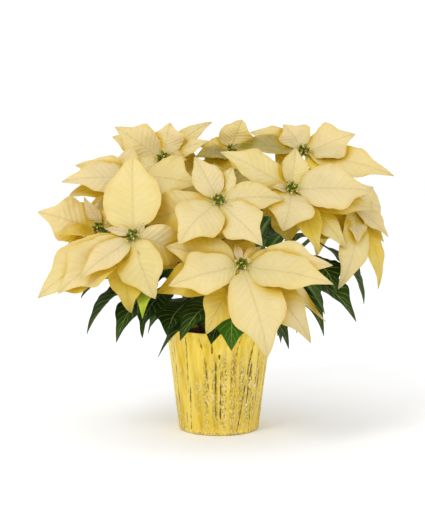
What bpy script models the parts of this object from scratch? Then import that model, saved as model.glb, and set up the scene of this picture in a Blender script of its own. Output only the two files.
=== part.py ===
"""A poinsettia in its pot: foil cover, grow pot, potting mix, three plants and their flower heads.

Metres, +Z up. The origin is the middle of the foil cover's flat bottom, and the front faces -Y.
"""

import math
import random

import bmesh
import bpy
from mathutils import Matrix, Vector
from mathutils.bvhtree import BVHTree

MM = 0.001
FULL_TURN = 2 * math.pi
GOLDEN_ANGLE = math.radians(137.5)
UP = Vector((0, 0, 1))

# Gap that touching solids keep between them, and how near two points are before they are one
SEAT_GAP = 0.3 * MM
WELD = 0.001 * MM
FLAT_ANGLE = math.radians(0.2)
FUSE_TRIES = 12
FUSE_TURN = math.radians(5)
NUDGE = 0.2 * MM

# Foil cover: a tapered cup with upright creases and a gathered, flared rim
COVER_BASE_RADIUS = 59.5 * MM
COVER_RIM_RADIUS = 79 * MM
COVER_HEIGHT = 155 * MM
COVER_WALL = 1 * MM
COVER_ROLL = 4 * MM
COVER_FLAT_RADIUS = COVER_BASE_RADIUS - 0.7 * COVER_ROLL
COVER_COLUMNS = 42
COVER_ROWS = 3
CREASE_DEPTH = 2.2 * MM
CREASE_WIDTH = math.radians(9)
CREASES = 13
CREASE_SLANT = math.radians(16)
CREASE_WANDER = 0.3
CREASE_STRENGTH = (0.5, 1)
GATHER_START = 0.86
GATHER_FLARE = 5 * MM
GATHER_DEPTH = 2.5 * MM
GATHERS = 12

# Grow pot: a plain tapered pot with a rolled lip, standing on the cover's bottom
POT_BASE_RADIUS = 50 * MM
POT_RIM_RADIUS = 67 * MM
POT_HEIGHT = 140 * MM
POT_WALL = 1.6 * MM
POT_FLOOR = 2 * MM
POT_LIP = 3 * MM
POT_LIP_HEIGHT = 12 * MM
POT_COLUMNS = 18
DRAIN_HOLES = 4
DRAIN_SIDES = 8
DRAIN_RADIUS = 5 * MM
DRAIN_CIRCLE = 32 * MM
SHARP_ANGLE = math.radians(30)

# Potting mix: fills the pot to below its rim, with a plain hole for each trunk
SOIL_BELOW_RIM = 10 * MM
SOIL_MOUND = 3 * MM
SOIL_LUMP = 1.5 * MM
SOIL_RINGS = 3

# Trunks and the stems that fork from them
TRUNK_RADIUS = 5.5 * MM
TRUNK_SIDES = 8
TRUNK_BURIED = 50 * MM
TRUNK_TOP = 158 * MM
TRUNK_FEET = ((-24, -14), (24, -16), (2, 27))
STEM_RADIUS_LOW = 3.6 * MM
STEM_RADIUS_HIGH = 2.6 * MM
STEM_POINTS = 5
STEM_SINK = 5 * MM
STEM_STAGGER = 1.1 * MM
STEM_RISE = 70 * MM
STEM_LEAN = 0.12
STEM_APPROACH = 0.35
STEM_STRAIGHT = 6 * MM

# Flower heads: the hub that the bracts grow from and the cluster of cups on it
HUB_RADIUS = 4.5 * MM
HUB_HEIGHT = 8 * MM
HUB_TAPER = 0.85
HUB_SIDES = 8
HUB_LEVELS = (2.1 * MM, 0.6 * MM, -0.9 * MM, -2.4 * MM)
ROOT_RADIUS = 2.7 * MM
ROOT_SPACING = math.radians(48)
ROOT_TURNS = tuple(math.radians(turn) for turn in (0, 12, -12, 24, -24, 36, -36, 48, -48, 60, -60))
CUP_RADIUS = 3 * MM
CUP_HEIGHT = 7.5 * MM
CUP_SIDES = 4
CUP_BELLY = 0.55
CUP_TAPER = 0.6
CUP_LIFT = (0.2, 0.6)
CUP_RING_RADIUS = 5.2 * MM
CUP_RING = 3
CUP_LEAN = math.radians(24)
GLAND_REACH = 1.8 * MM
PLATE_RADIUS = 7 * MM
PLATE_HEIGHT = 2 * MM
PLATE_FOOT = 0.7 * HUB_RADIUS

# Blades: bracts and leaves are the same folded, arched slab, cut to other outlines
BLADE_THICKNESS = 0.8 * MM
STALK_THICKNESS = 1.1 * MM
STALK_WIDTH = 2 * MM
STALK_SHARE = 0.12
TIP_WIDTH = 0.9 * MM
DROOP_TURN = 1.5
BRACT_STALK = 0.09
LEAF_STALK = 0.24
LOBE_FROM = 0.2
LOBE_AT = 0.6
LOBE_TO = 0.8
LOBE_GAIN = 1.4
BLADE_STATIONS = (0, 0.3, LOBE_AT, 1)
SMALL_STATIONS = (0.4, 1)
SMALL_BRACT = 26 * MM
BLADE_CLEARANCE = 0.5 * MM
ROOT = -1
OPEN_FROM = (ROOT, 0, 0.29)
BEND_STEP = math.radians(3)
BEND_STEPS = 14
SHORTENINGS = (1, 0.85, 0.7)

# Course of a blade's two inner curve points: share of its length along it and of its arch above it
PATH_NEAR = (0.28, 0.4)
PATH_FAR = (0.62, 1.6)

# Ranges that each blade's own arch, fold, twist in radians, waves and ripple are drawn from
ARCH_DRAW = (-0.02, 0.04)
FOLD_DRAW = (-0.08, 0.14)
TWIST_DRAW = (-0.35, 0.35)
WAVES_DRAW = (1.2, 2.2)
RIPPLE_DRAW = (0.04, 0.13)
RIPPLE_SKEW = 0.3

# Form of a blade: where it is widest, how fast it narrows, size of its side lobes, arch along its
# length and fold along its midrib
FORMS = {
    "oval": (0.75, 1.05, 0, 0.08, 0.16),
    "heart": (0.5, 0.8, 0, 0.05, 0.12),
    "lobed": (0.75, 1.05, 0.28, 0.08, 0.16),
    "drooping": (0.7, 0.95, 0.12, 0.16, 0.12),
    "narrow": (0.85, 1.1, 0, 0.05, 0.3),
    "leaf": (0.7, 1.0, 0.16, 0.12, 0.22),
}

# Each head: its trunk, the place of its hub and the way it faces. Each bract: its tip's offset from
# the hub to the right, away and up, then its width, all in millimetres, and its form.
HEADS = {
    "front": (1, (30, -150, 262), (0.1, -0.85, 0.5), (
        (35, -45, -120, 80, "drooping"),
        (-15, -35, -40, 30, "oval"),
        (125, -30, -25, 62, "oval"),
        (125, -10, 10, 66, "lobed"),
        (-100, -25, -27, 68, "lobed"),
        (-105, 10, 25, 56, "oval"),
        (-120, 5, -35, 60, "oval"),
        (97, 0, -108, 52, "drooping"),
        (86, -5, -82, 30, "narrow"),
        (-47, 0, -95, 50, "drooping"),
        (122, 55, -88, 34, "narrow"),
        (30, 25, 22, 22, "lobed"),
        (-8, 15, 32, 13, "narrow"),
        (-21, -15, -6, 11, "narrow"),
        (7, -18, -20, 12, "narrow"),
        (-26, -8, 7, 11, "narrow"),
    )),
    "front_left": (0, (-119, -130, 300), (-0.3, -0.85, 0.45), (
        (-3, 45, 109, 84, "heart"),
        (30, -20, -84, 68, "drooping"),
        (-72, -40, -54, 42, "oval"),
        (-105, -15, -78, 72, "lobed"),
        (-140, 15, -86, 76, "lobed"),
        (-14, -5, -110, 54, "drooping"),
        (80, 20, -34, 56, "oval"),
        (-36, 5, 25, 17, "narrow"),
        (-20, -5, 23, 14, "narrow"),
        (-48, 20, 39, 20, "oval"),
        (18, 0, 21, 12, "narrow"),
    )),
    "centre": (1, (-1, -110, 347), (0, -0.8, 0.55), (
        (-34, 25, 62, 46, "oval"),
        (20, 25, 49, 32, "oval"),
        (92, 15, 2, 46, "oval"),
        (60, -45, -57, 64, "lobed"),
        (-55, -50, -54, 72, "drooping"),
        (-112, -5, -43, 64, "lobed"),
        (4, 45, 59, 36, "narrow"),
    )),
    "right": (1, (102, -70, 361), (0.25, -0.8, 0.5), (
        (-101, 0, 54, 60, "lobed"),
        (-10, -45, -50, 74, "drooping"),
        (116, 15, -4, 80, "lobed"),
        (77, 0, 6, 54, "heart"),
        (7, 30, 58, 42, "oval"),
        (-14, 10, 38, 22, "narrow"),
        (39, -25, -88, 44, "narrow"),
        (120, -5, -35, 48, "oval"),
        (-31, -25, 6, 14, "narrow"),
        (-40, -5, -37, 50, "oval"),
        (-32, 0, -80, 50, "drooping"),
        (90, -20, -71, 40, "oval"),
    )),
    "far_left": (0, (-170, -60, 304), (-0.5, -0.75, 0.4), (
        (-90, -10, 22, 68, "lobed"),
        (-56, -45, -6, 34, "narrow"),
        (-19, -25, 41, 23, "narrow"),
        (17, -10, 34, 20, "narrow"),
        (-62, 60, 5, 64, "oval"),
        (-14, 70, 29, 60, "heart"),
        (-40, 50, -80, 48, "drooping"),
    )),
    "inner_left": (0, (-115, -30, 378), (-0.25, -0.75, 0.55), (
        (-111, -25, -7, 62, "lobed"),
        (-94, 10, 15, 48, "oval"),
        (-92, -45, -26, 42, "heart"),
        (83, -40, -9, 76, "lobed"),
        (-18, -5, 32, 26, "narrow"),
        (-48, 70, 12, 60, "oval"),
        (40, 60, 5, 52, "oval"),
    )),
    "top_left": (0, (-82, 40, 398), (-0.2, -0.75, 0.6), (
        (-71, -5, 52, 62, "lobed"),
        (9, 20, 55, 60, "lobed"),
        (67, 0, 28, 38, "oval"),
        (45, -30, 4, 28, "narrow"),
        (-24, -40, -5, 30, "narrow"),
        (-103, -20, -8, 38, "lobed"),
        (-80, 40, 33, 42, "oval"),
        (72, 50, 55, 30, "oval"),
        (-45, 75, -10, 56, "oval"),
        (25, 80, 0, 56, "lobed"),
    )),
    "far_right": (1, (194, -20, 335), (0.5, -0.7, 0.5), (
        (5, -40, -52, 34, "oval"),
        (-12, -45, -116, 48, "drooping"),
        (39, -20, -127, 40, "drooping"),
        (53, -5, -46, 36, "oval"),
        (47, -25, -50, 27, "oval"),
        (34, 30, 24, 36, "oval"),
        (50, 70, -10, 54, "oval"),
        (10, 80, 15, 52, "lobed"),
        (70, 40, -65, 40, "drooping"),
    )),
    "top": (2, (20, 70, 409), (0, -0.75, 0.65), (
        (1, -5, 51, 52, "heart"),
        (-56, -45, -7, 36, "narrow"),
        (56, -30, 4, 36, "oval"),
        (-48, 0, 9, 38, "oval"),
        (40, 10, 33, 42, "lobed"),
        (31, 40, 40, 34, "oval"),
        (-30, 80, 0, 54, "oval"),
        (30, 85, -15, 56, "lobed"),
    )),
    "top_right": (2, (125, 50, 409), (0.2, -0.75, 0.6), (
        (137, -10, -35, 56, "lobed"),
        (84, 20, 8, 64, "lobed"),
        (41, 50, 22, 56, "oval"),
        (-21, 30, 37, 60, "lobed"),
        (-78, 20, 29, 42, "oval"),
        (-105, -20, 22, 38, "narrow"),
        (60, 80, -20, 46, "oval"),
        (-15, 85, -10, 54, "oval"),
    )),
}

# Heads at the back, whose bracts follow a rule: their trunk, place and the way they face
BACK_HEADS = {
    "back_left": (0, (-140, 105, 335), (-0.6, 0.6, 0.6)),
    "back": (2, (0, 165, 345), (0, 0.75, 0.65)),
    "back_right": (2, (140, 135, 330), (0.5, 0.65, 0.6)),
}
BACK_BRACTS = 8
BACK_REACH = (112, 62)
BACK_WIDTH = (62, 34)
BACK_DROOP = (-0.55, 0.5)
BACK_SPREAD = 6
BACK_FORMS = ("lobed", "oval", "drooping")

# Shaded bracts low in a head, which close the gaps between heads: head, tip, width and form. They
# come after all the others and take what room is left.
LOWER_BRACTS = [
    ("front_left", 62, 15, -45, 58, "oval"),
    ("centre", -15, -25, -66, 60, "drooping"),
    ("centre", 62, 20, -22, 52, "oval"),
    ("inner_left", 40, -30, -45, 60, "drooping"),
    ("top_left", 58, 10, 0, 46, "oval"),
    ("top_left", 5, 20, -50, 56, "drooping"),
    ("top", -35, -30, -38, 52, "drooping"),
    ("top", 38, -30, -36, 54, "drooping"),
    ("top_right", 66, -20, -34, 60, "lobed"),
    ("top_right", -40, -10, -34, 50, "drooping"),
    ("far_right", -45, 10, -50, 48, "oval"),
    ("front", -8, 58, 38, 52, "oval"),
    ("front_left", -42, 50, 10, 54, "oval"),
]

# Leaves that show: the head whose stem carries them, how far up that stem, their tip and width
LEAVES = (
    ("front_left", 0.62, (-187, -110, 160), 50),
    ("front_left", 0.55, (-155, -130, 166), 46),
    ("far_left", 0.6, (-197, -90, 208), 46),
    ("front_left", 0.45, (-111, -105, 164), 46),
    ("front_left", 0.72, (-107, -138, 186), 30),
    ("front", 0.4, (-87, -105, 125), 50),
    ("front", 0.5, (-55, -112, 133), 54),
    ("front", 0.6, (17, -120, 138), 50),
    ("front", 0.55, (98, -112, 139), 50),
    ("right", 0.35, (122, -90, 152), 40),
    ("right", 0.45, (150, -80, 152), 46),
    ("far_right", 0.5, (197, -70, 171), 44),
    ("far_right", 0.6, (173, -40, 200), 44),
    ("far_right", 0.7, (213, -20, 189), 44),
    ("right", 0.7, (193, -60, 269), 30),
    ("right", 0.8, (83, -30, 393), 30),
    ("right", 0.75, (112, -70, 312), 50),
    ("centre", 0.6, (-75, -95, 240), 52),
    ("centre", 0.75, (60, -90, 300), 48),
    ("top", 0.75, (-30, 20, 405), 44),
    ("inner_left", 0.7, (-175, -20, 320), 50),
    ("right", 0.62, (104, -62, 284), 56),
    ("centre", 0.68, (76, -70, 290), 50),
)

# Leaves that follow a rule. Some hang over the cover's rim all round, some fill the back and the
# sides at three heights, and each head has one below its bracts.
RIM_LEAVES = 11
RIM_LEAF_REACH = (104, 122)
RIM_LEAF_HEIGHT = 140
RIM_LEAF_UP = (0.25, 0.45)
RIM_LEAF_WIDTH = 58
BACK_LEAVES = 8
BACK_LEAF_REACH = (150, 200)
BACK_LEAF_HEIGHTS = (150, 217.5, 285)
BACK_LEAF_FROM = math.radians(-25)
BACK_LEAF_SWEEP = math.radians(230)
BACK_LEAF_UP = (0.4, 0.75)
BACK_LEAF_WIDTH = 56
UNDER_LEAF_REACH = 84
UNDER_LEAF_DROOP = 0.4
UNDER_LEAF_UP = 0.8
UNDER_LEAF_WIDTH = 52
LEAF_SPREAD = 12
LEAF_TILT = 1.2
HEIGHT_WEIGHT = 0.4
SEED = 12

# Colours, roughness and metallic value of each material
FINISHES = {
    "foil": ((0.66, 0.45, 0.09), 0.32, 0.9),
    "pot": ((0.09, 0.05, 0.035), 0.6, 0),
    "soil": ((0.035, 0.022, 0.014), 0.95, 0),
    "green": ((0.035, 0.11, 0.02), 0.5, 0),
    "bract": ((0.86, 0.74, 0.4), 0.55, 0),
    "cups": ((0.3, 0.42, 0.05), 0.5, 0),
}


def clear_scene():
    for old in list(bpy.data.objects):
        bpy.data.objects.remove(old, do_unlink=True)


def material(name):
    colour, roughness, metallic = FINISHES[name]
    made = bpy.data.materials.get(name) or bpy.data.materials.new(name)
    made.use_nodes = True
    shader = made.node_tree.nodes["Principled BSDF"]
    shader.inputs["Base Color"].default_value = (*colour, 1)
    shader.inputs["Roughness"].default_value = roughness
    shader.inputs["Metallic"].default_value = metallic
    return made


def new_object(name, bm, finish, collection=None):
    """An object that holds the bmesh, with a material."""
    mesh = bpy.data.meshes.new(name)
    bm.to_mesh(mesh)
    bm.free()
    made = bpy.data.objects.new(name, mesh)
    made.data.materials.append(material(finish))
    (collection or bpy.context.scene.collection).objects.link(made)
    return made


def keep_outer_shell(mesh):
    """Fills the hollows that fusing seals and drops loose scraps: only the largest shell stays.
    Returns whether each edge of it has two faces."""
    bm = bmesh.new()
    bm.from_mesh(mesh)
    bmesh.ops.dissolve_limit(
        bm, angle_limit=FLAT_ANGLE, verts=bm.verts, edges=bm.edges, use_dissolve_boundaries=False,
    )
    bmesh.ops.triangulate(bm, faces=bm.faces)
    bmesh.ops.remove_doubles(bm, verts=bm.verts, dist=WELD)
    bmesh.ops.dissolve_degenerate(bm, edges=bm.edges, dist=WELD)
    left = set(bm.faces)
    shells = []
    while left:
        shell = set()
        found = [left.pop()]
        while found:
            face = found.pop()
            shell.add(face)
            for edge in face.edges:
                for other in edge.link_faces:
                    if other in left:
                        left.remove(other)
                        found.append(other)
        shells.append(shell)
    largest = max(shells, key=lambda shell: sum(face.calc_area() for face in shell))
    loose = [face for shell in shells if shell is not largest for face in shell]
    bmesh.ops.delete(bm, geom=loose, context="FACES")
    clean = all(len(edge.link_faces) == 2 for edge in bm.edges)
    bm.to_mesh(mesh)
    bm.free()
    return clean


def join_all(base, parts, operation="UNION", solver="EXACT"):
    """Applies one Boolean of the collection to the base object and removes the parts. Returns
    whether the result is clean."""
    joint = base.modifiers.new("join", "BOOLEAN")
    joint.operation = operation
    joint.operand_type = "COLLECTION"
    joint.collection = parts
    joint.solver = solver
    graph = bpy.context.evaluated_depsgraph_get()
    joined = bpy.data.meshes.new_from_object(base.evaluated_get(graph))
    base.modifiers.clear()
    base.data = joined
    for part in list(parts.objects):
        bpy.data.objects.remove(part, do_unlink=True)
    bpy.data.collections.remove(parts)
    return keep_outer_shell(joined)


def fuse(name, finish, make_base, make_parts):
    """One node from its base and parts. The base is turned a little further each time, until no
    edge of the fused body is shared by four faces. Where EXACT fails, MANIFOLD has its turn."""
    for attempt in range(FUSE_TRIES):
        turn = FUSE_TURN * (attempt // 2)
        base = new_object(name, make_base(turn), finish)
        parts = parts_collection("parts")
        for part in make_parts(turn):
            new_object("part", part, finish, parts)
        if join_all(base, parts, solver=("EXACT", "MANIFOLD")[attempt % 2]):
            return base
        if attempt < FUSE_TRIES - 1:
            bpy.data.objects.remove(base, do_unlink=True)
    print("no clean union for", name)
    return base


def parts_collection(name):
    parts = bpy.data.collections.new(name)
    bpy.context.scene.collection.children.link(parts)
    return parts


def tree_of(bm):
    """What the bmesh fills, for finding what would cross it."""
    return BVHTree.FromBMesh(bm)


def turned(profile, columns):
    """A closed body turned round Z from a closed profile of (radius, height) that starts and ends
    on the axis."""
    bm = bmesh.new()
    points = [bm.verts.new((radius, 0, height)) for radius, height in profile]
    edges = [bm.edges.new(pair) for pair in zip(points, points[1:])]
    bmesh.ops.spin(
        bm, geom=points + edges, cent=(0, 0, 0), axis=UP, dvec=(0, 0, 0),
        angle=FULL_TURN, steps=columns, use_merge=True, use_duplicate=False,
    )
    bmesh.ops.remove_doubles(bm, verts=bm.verts, dist=WELD)
    bmesh.ops.dissolve_degenerate(bm, edges=bm.edges, dist=WELD)
    bmesh.ops.recalc_face_normals(bm, faces=bm.faces)
    return bm


def cover_radius(height):
    """Outer radius of the smooth cover at a height."""
    share = height / COVER_HEIGHT
    flare = max(0, (share - GATHER_START) / (1 - GATHER_START)) * GATHER_FLARE
    return COVER_BASE_RADIUS + (COVER_RIM_RADIUS - COVER_BASE_RADIUS) * share + flare


def crease_depth(angle, share, creases):
    """How far the creases and the gathers at the rim pull the foil in, at an angle and height."""
    depth = 0
    for place, slant, strength in creases:
        off = (angle - place - slant * share + math.pi) % FULL_TURN - math.pi
        depth = max(depth, strength * max(0, 1 - abs(off) / CREASE_WIDTH))
    gather = max(0, (share - GATHER_START) / (1 - GATHER_START))
    return CREASE_DEPTH * depth + GATHER_DEPTH * gather * (1 + math.cos(GATHERS * angle)) / 2


def make_cover():
    """The foil cup. Its two walls are creased alike, so the foil keeps its thickness."""
    draw = random.Random(SEED)
    heights = [COVER_ROLL + (COVER_HEIGHT * GATHER_START - COVER_ROLL) * row / COVER_ROWS
               for row in range(COVER_ROWS + 1)] + [COVER_HEIGHT]
    outer = [(cover_radius(height), height) for height in heights]
    inner = [(radius - COVER_WALL, height) for radius, height in reversed(outer)]
    profile = [(0, 0), (COVER_FLAT_RADIUS, 0), *outer, *inner[:-1],
               (cover_radius(COVER_ROLL) - COVER_WALL, COVER_ROLL + COVER_WALL / 2),
               (COVER_FLAT_RADIUS, COVER_WALL), (0, COVER_WALL)]
    bm = turned(profile, COVER_COLUMNS)
    creases = [(FULL_TURN * (number + draw.uniform(-CREASE_WANDER, CREASE_WANDER)) / CREASES,
                draw.uniform(-CREASE_SLANT, CREASE_SLANT), draw.uniform(*CREASE_STRENGTH))
               for number in range(CREASES)]
    for vert in bm.verts:
        if vert.co.z < COVER_ROLL / 2:
            continue
        radius = math.hypot(vert.co.x, vert.co.y)
        angle = math.atan2(vert.co.y, vert.co.x)
        rise = min(1, (vert.co.z - COVER_ROLL / 2) / COVER_ROLL)
        pulled = radius - rise * crease_depth(angle, vert.co.z / COVER_HEIGHT, creases)
        vert.co.x *= pulled / radius
        vert.co.y *= pulled / radius
    tree = tree_of(bm)
    made = new_object("foil_cover", bm, "foil")
    made.data.shade_smooth()
    return tree


def make_grow_pot():
    """The plastic pot, with drain holes through its floor."""
    foot = COVER_WALL + SEAT_GAP
    top = foot + POT_HEIGHT
    under_lip = top - POT_LIP_HEIGHT
    slope = (POT_RIM_RADIUS - POT_BASE_RADIUS) / POT_HEIGHT
    waist = POT_BASE_RADIUS + slope * (under_lip - foot)
    profile = [
        (0, foot), (POT_BASE_RADIUS, foot), (waist, under_lip), (waist + POT_LIP, under_lip),
        (POT_RIM_RADIUS + POT_LIP, top), (POT_RIM_RADIUS - POT_WALL, top),
        (POT_BASE_RADIUS - POT_WALL, foot + POT_FLOOR), (0, foot + POT_FLOOR),
    ]
    pot = new_object("grow_pot", turned(profile, POT_COLUMNS), "pot")
    drills = parts_collection("drain holes")
    for number in range(DRAIN_HOLES):
        angle = FULL_TURN * (number + 0.5) / DRAIN_HOLES
        place = Vector((math.cos(angle), math.sin(angle), 0)) * DRAIN_CIRCLE + UP * foot
        bm = bmesh.new()
        bmesh.ops.create_cone(
            bm, cap_ends=True, segments=DRAIN_SIDES, radius1=DRAIN_RADIUS, radius2=DRAIN_RADIUS,
            depth=POT_FLOOR * 4, matrix=Matrix.Translation(place),
        )
        new_object("drain", bm, "pot", drills)
    join_all(pot, drills, "DIFFERENCE")
    pot.data.shade_smooth()
    pot.data.set_sharp_from_angle(angle=SHARP_ANGLE)


def soil_top():
    return COVER_WALL + SEAT_GAP + POT_HEIGHT - SOIL_BELOW_RIM


def trunk_foot():
    return soil_top() - TRUNK_BURIED


def make_soil():
    """The potting mix: a tapered plug with a lumpy top and a blind hole for each trunk."""
    draw = random.Random(SEED)
    foot = COVER_WALL + SEAT_GAP + POT_FLOOR
    slope = (POT_RIM_RADIUS - POT_BASE_RADIUS) / (POT_HEIGHT - POT_FLOOR)
    inside = POT_BASE_RADIUS - POT_WALL - 2 * SEAT_GAP
    rim = inside + slope * (soil_top() - foot)
    low = foot + SEAT_GAP
    rings = [(rim * (1 - ring / SOIL_RINGS), soil_top() + SOIL_MOUND * ring / SOIL_RINGS)
             for ring in range(SOIL_RINGS + 1)]
    bm = turned([(0, low), (inside, low), *rings], POT_COLUMNS)
    for vert in sorted(bm.verts, key=lambda vert: tuple(round(c, 6) for c in vert.co)):
        if vert.co.z > soil_top() + SOIL_MOUND / SOIL_RINGS / 2:
            vert.co.z += draw.uniform(-SOIL_LUMP, SOIL_LUMP)
    soil = new_object("potting_mix", bm, "soil")
    holes = parts_collection("trunk holes")
    for x, y in TRUNK_FEET:
        depth = TRUNK_BURIED * 2
        middle = Vector((x * MM, y * MM, trunk_foot() - SEAT_GAP + depth / 2))
        bm = bmesh.new()
        bmesh.ops.create_cone(
            bm, cap_ends=True, segments=TRUNK_SIDES, radius1=TRUNK_RADIUS + 2 * SEAT_GAP,
            radius2=TRUNK_RADIUS + 2 * SEAT_GAP, depth=depth, matrix=Matrix.Translation(middle),
        )
        new_object("hole", bm, "soil", holes)
    join_all(soil, holes, "DIFFERENCE")


def bezier(points, share):
    """Point and direction at a share of a cubic curve."""
    a, b, c, d = points
    rest = 1 - share
    point = a * rest**3 + b * 3 * rest**2 * share + c * 3 * rest * share**2 + d * share**3
    way = (b - a) * rest**2 + (c - b) * 2 * rest * share + (d - c) * share**2
    return point, way.normalized()


def upright_part(vector, axis):
    """The part of a vector that stands square to an axis, as a direction."""
    square = vector - axis * vector.dot(axis)
    return square.normalized()


def plant_name(trunk):
    return f"plant_{trunk + 1}"


def stem_curve(number, trunk, centre, faces):
    """From inside the trunk's top, out and up, to below the hub. Each stem starts at a height of
    its own."""
    x, y = TRUNK_FEET[trunk]
    start = Vector((x * MM, y * MM, TRUNK_TOP - STEM_SINK - STEM_STAGGER * number))
    end = centre - faces * (HUB_HEIGHT / 2 + SEAT_GAP + STEM_STRAIGHT)
    reach = (end - start).length
    outward = (end - start) * Vector((1, 1, 0))
    start += outward.normalized() * STEM_STAGGER
    return start, start + UP * STEM_RISE + outward * STEM_LEAN, end - faces * reach * STEM_APPROACH, end


def make_tube(points, radii, turn):
    """A round bar along the points, from a curve with a bevel and filled caps."""
    curve = bpy.data.curves.new("bar", "CURVE")
    curve.dimensions = "3D"
    curve.bevel_depth = 1
    curve.bevel_resolution = 1
    curve.use_fill_caps = True
    spline = curve.splines.new("POLY")
    spline.points.add(len(points) - 1)
    for spot, point, radius in zip(spline.points, points, radii):
        spot.co = (*point, 1)
        spot.radius = radius
        spot.tilt = turn
    guide = bpy.data.objects.new("bar", curve)
    bpy.context.scene.collection.objects.link(guide)
    graph = bpy.context.evaluated_depsgraph_get()
    bm = bmesh.new()
    bm.from_mesh(bpy.data.meshes.new_from_object(guide.evaluated_get(graph)))
    bpy.data.objects.remove(guide, do_unlink=True)
    bmesh.ops.remove_doubles(bm, verts=bm.verts, dist=WELD)
    bmesh.ops.recalc_face_normals(bm, faces=bm.faces)
    return bm


def flat_blade(stations):
    """The blade laid flat as a slab: x from one edge to the other, y from stalk to tip, and z
    from its lower to its upper face, each from -1 or 0 to 1. Both faces are split alike."""
    bm = bmesh.new()
    rows = len(stations)
    bmesh.ops.create_grid(bm, x_segments=2, y_segments=rows, size=1)
    for vert in bm.verts:
        row = round((vert.co.y + 1) / 2 * rows)
        vert.co.y = -1 if row == 0 else stations[row - 1]
        vert.co.z = -1
    bmesh.ops.triangulate(bm, faces=bm.faces, quad_method="FIXED")
    grown = bmesh.ops.extrude_face_region(bm, geom=list(bm.faces), use_keep_orig=True)
    for item in grown["geom"]:
        if isinstance(item, bmesh.types.BMVert):
            item.co.z = 1
    bmesh.ops.recalc_face_normals(bm, faces=bm.faces)
    return bm


def half_width(blade, share):
    """Half the blade's width at a share of its length past the stalk."""
    widest, narrowing, lobe, _, _ = FORMS[blade["form"]]
    stalk_half = min(STALK_WIDTH, blade["width"] * STALK_SHARE) / 2
    if share <= 0:
        return stalk_half
    top = widest / (widest + narrowing)
    peak = top**widest * (1 - top) ** narrowing
    body = share**widest * (1 - share) ** narrowing / peak
    corner = 1 - abs(share - LOBE_AT) / (LOBE_AT - LOBE_FROM if share < LOBE_AT else LOBE_TO - LOBE_AT)
    body = max(body * (1 - lobe / 2), min(1, body) * (1 - lobe) + lobe * max(0, corner) * LOBE_GAIN)
    return max(TIP_WIDTH / 2 + (stalk_half - TIP_WIDTH / 2) * (1 - share), blade["width"] / 2 * body)


def face_at(blade, way):
    """Which way the blade's upper face looks where the blade runs a given way. It turns outwards
    as the blade droops."""
    droop = -way.dot(blade["face"])
    return upright_part(blade["face"] + blade["out"] * DROOP_TURN * droop, way)


def bent(blade, flat, grown=0):
    """The place on the bent blade of a point of the flat one."""
    stalk = blade["stalk"]
    share = max(flat.y, 0)
    along = 0 if flat.y < 0 else stalk + (1 - stalk) * share
    centre, way = bezier(blade["path"], along)
    face = Matrix.Rotation(blade["twist"] * share, 3, way) @ face_at(blade, way)
    side = way.cross(face)
    fold = blade["fold"]
    half = half_width(blade, share) + grown
    wave = FULL_TURN * (blade["waves"] * share + blade["phase"] + RIPPLE_SKEW * flat.x)
    lift = abs(flat.x) * half * (math.sin(fold) + blade["ripple"] * math.sin(wave))
    thick = (STALK_THICKNESS if flat.y < 0 else BLADE_THICKNESS) + 2 * grown
    return centre + side * (flat.x * half * math.cos(fold)) + face * (lift + flat.z * thick / 2)


def blade_mesh(blade, grown=0):
    bm = flat_blade(blade["stations"])
    for vert in bm.verts:
        vert.co = bent(blade, vert.co, grown)
    return bm


def blade_trees(blade, grown=0):
    """What the whole blade fills, what it fills past each of OPEN_FROM, and its box."""
    bm = flat_blade(blade["stations"])
    starts = [min(vert.co.y for vert in face.verts) for face in bm.faces]
    corners = [[vert.index for vert in face.verts] for face in bm.faces]
    for vert in bm.verts:
        vert.co = bent(blade, vert.co, grown)
    points = [vert.co.copy() for vert in bm.verts]
    bm.free()
    trees = {}
    for least in OPEN_FROM:
        kept = [face for face, start in zip(corners, starts) if start >= least]
        trees[least] = BVHTree.FromPolygons(points, kept)
    low = Vector(tuple(min(point[axis] for point in points) for axis in range(3)))
    high = Vector(tuple(max(point[axis] for point in points) for axis in range(3)))
    return trees, low, high


def blade_path(blade, tip):
    """Straight out of the root, then over an arch to the tip."""
    root = blade["root"]
    reach = (tip - root).length
    chord = (tip - root).normalized()
    rise = face_at(blade, chord) * reach * blade["arch"]
    near = root + blade["out"] * reach * PATH_NEAR[0] + rise * PATH_NEAR[1]
    far = root + chord * reach * PATH_FAR[0] + rise * PATH_FAR[1]
    return root, near, far, tip


def new_blade(owner, root, tip, out, face, width, form, stalk, draw):
    """A blade's facts. Its small fold, twist and ripple are drawn from the seeded rule."""
    _, _, _, arch, fold = FORMS[form]
    small = stalk == BRACT_STALK and width < SMALL_BRACT
    return {
        "owner": owner, "root": root, "tip": tip, "out": out, "face": face, "width": width,
        "form": form, "stalk": stalk, "stations": SMALL_STATIONS if small else BLADE_STATIONS,
        "arch": arch + draw.uniform(*ARCH_DRAW), "fold": fold + draw.uniform(*FOLD_DRAW),
        "twist": draw.uniform(*TWIST_DRAW), "waves": draw.uniform(*WAVES_DRAW),
        "phase": draw.uniform(0, 1), "ripple": draw.uniform(*RIPPLE_DRAW),
    }


def with_bend(blade, pitch, swing, shorter):
    """The blade's path with its tip pitched about its side and swung about its face."""
    chord = blade["tip"] - blade["root"]
    rise = face_at(blade, chord.normalized())
    side = chord.normalized().cross(rise)
    turn = Matrix.Rotation(swing, 3, rise) @ Matrix.Rotation(pitch, 3, side)
    blade["path"] = blade_path(blade, blade["root"] + turn @ chord * shorter)


def bends():
    """Pitch, swing and shortening to try, the least first."""
    yield 0, 0, 1
    for shorter in SHORTENINGS:
        for step in range(1, BEND_STEPS + 1):
            turn = BEND_STEP * step
            for pitch, swing in ((1, 0), (-1, 0), (0, 1), (0, -1), (1, 1), (-1, 1), (1, -1), (-1, -1)):
                yield turn * pitch, turn * swing, shorter


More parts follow.
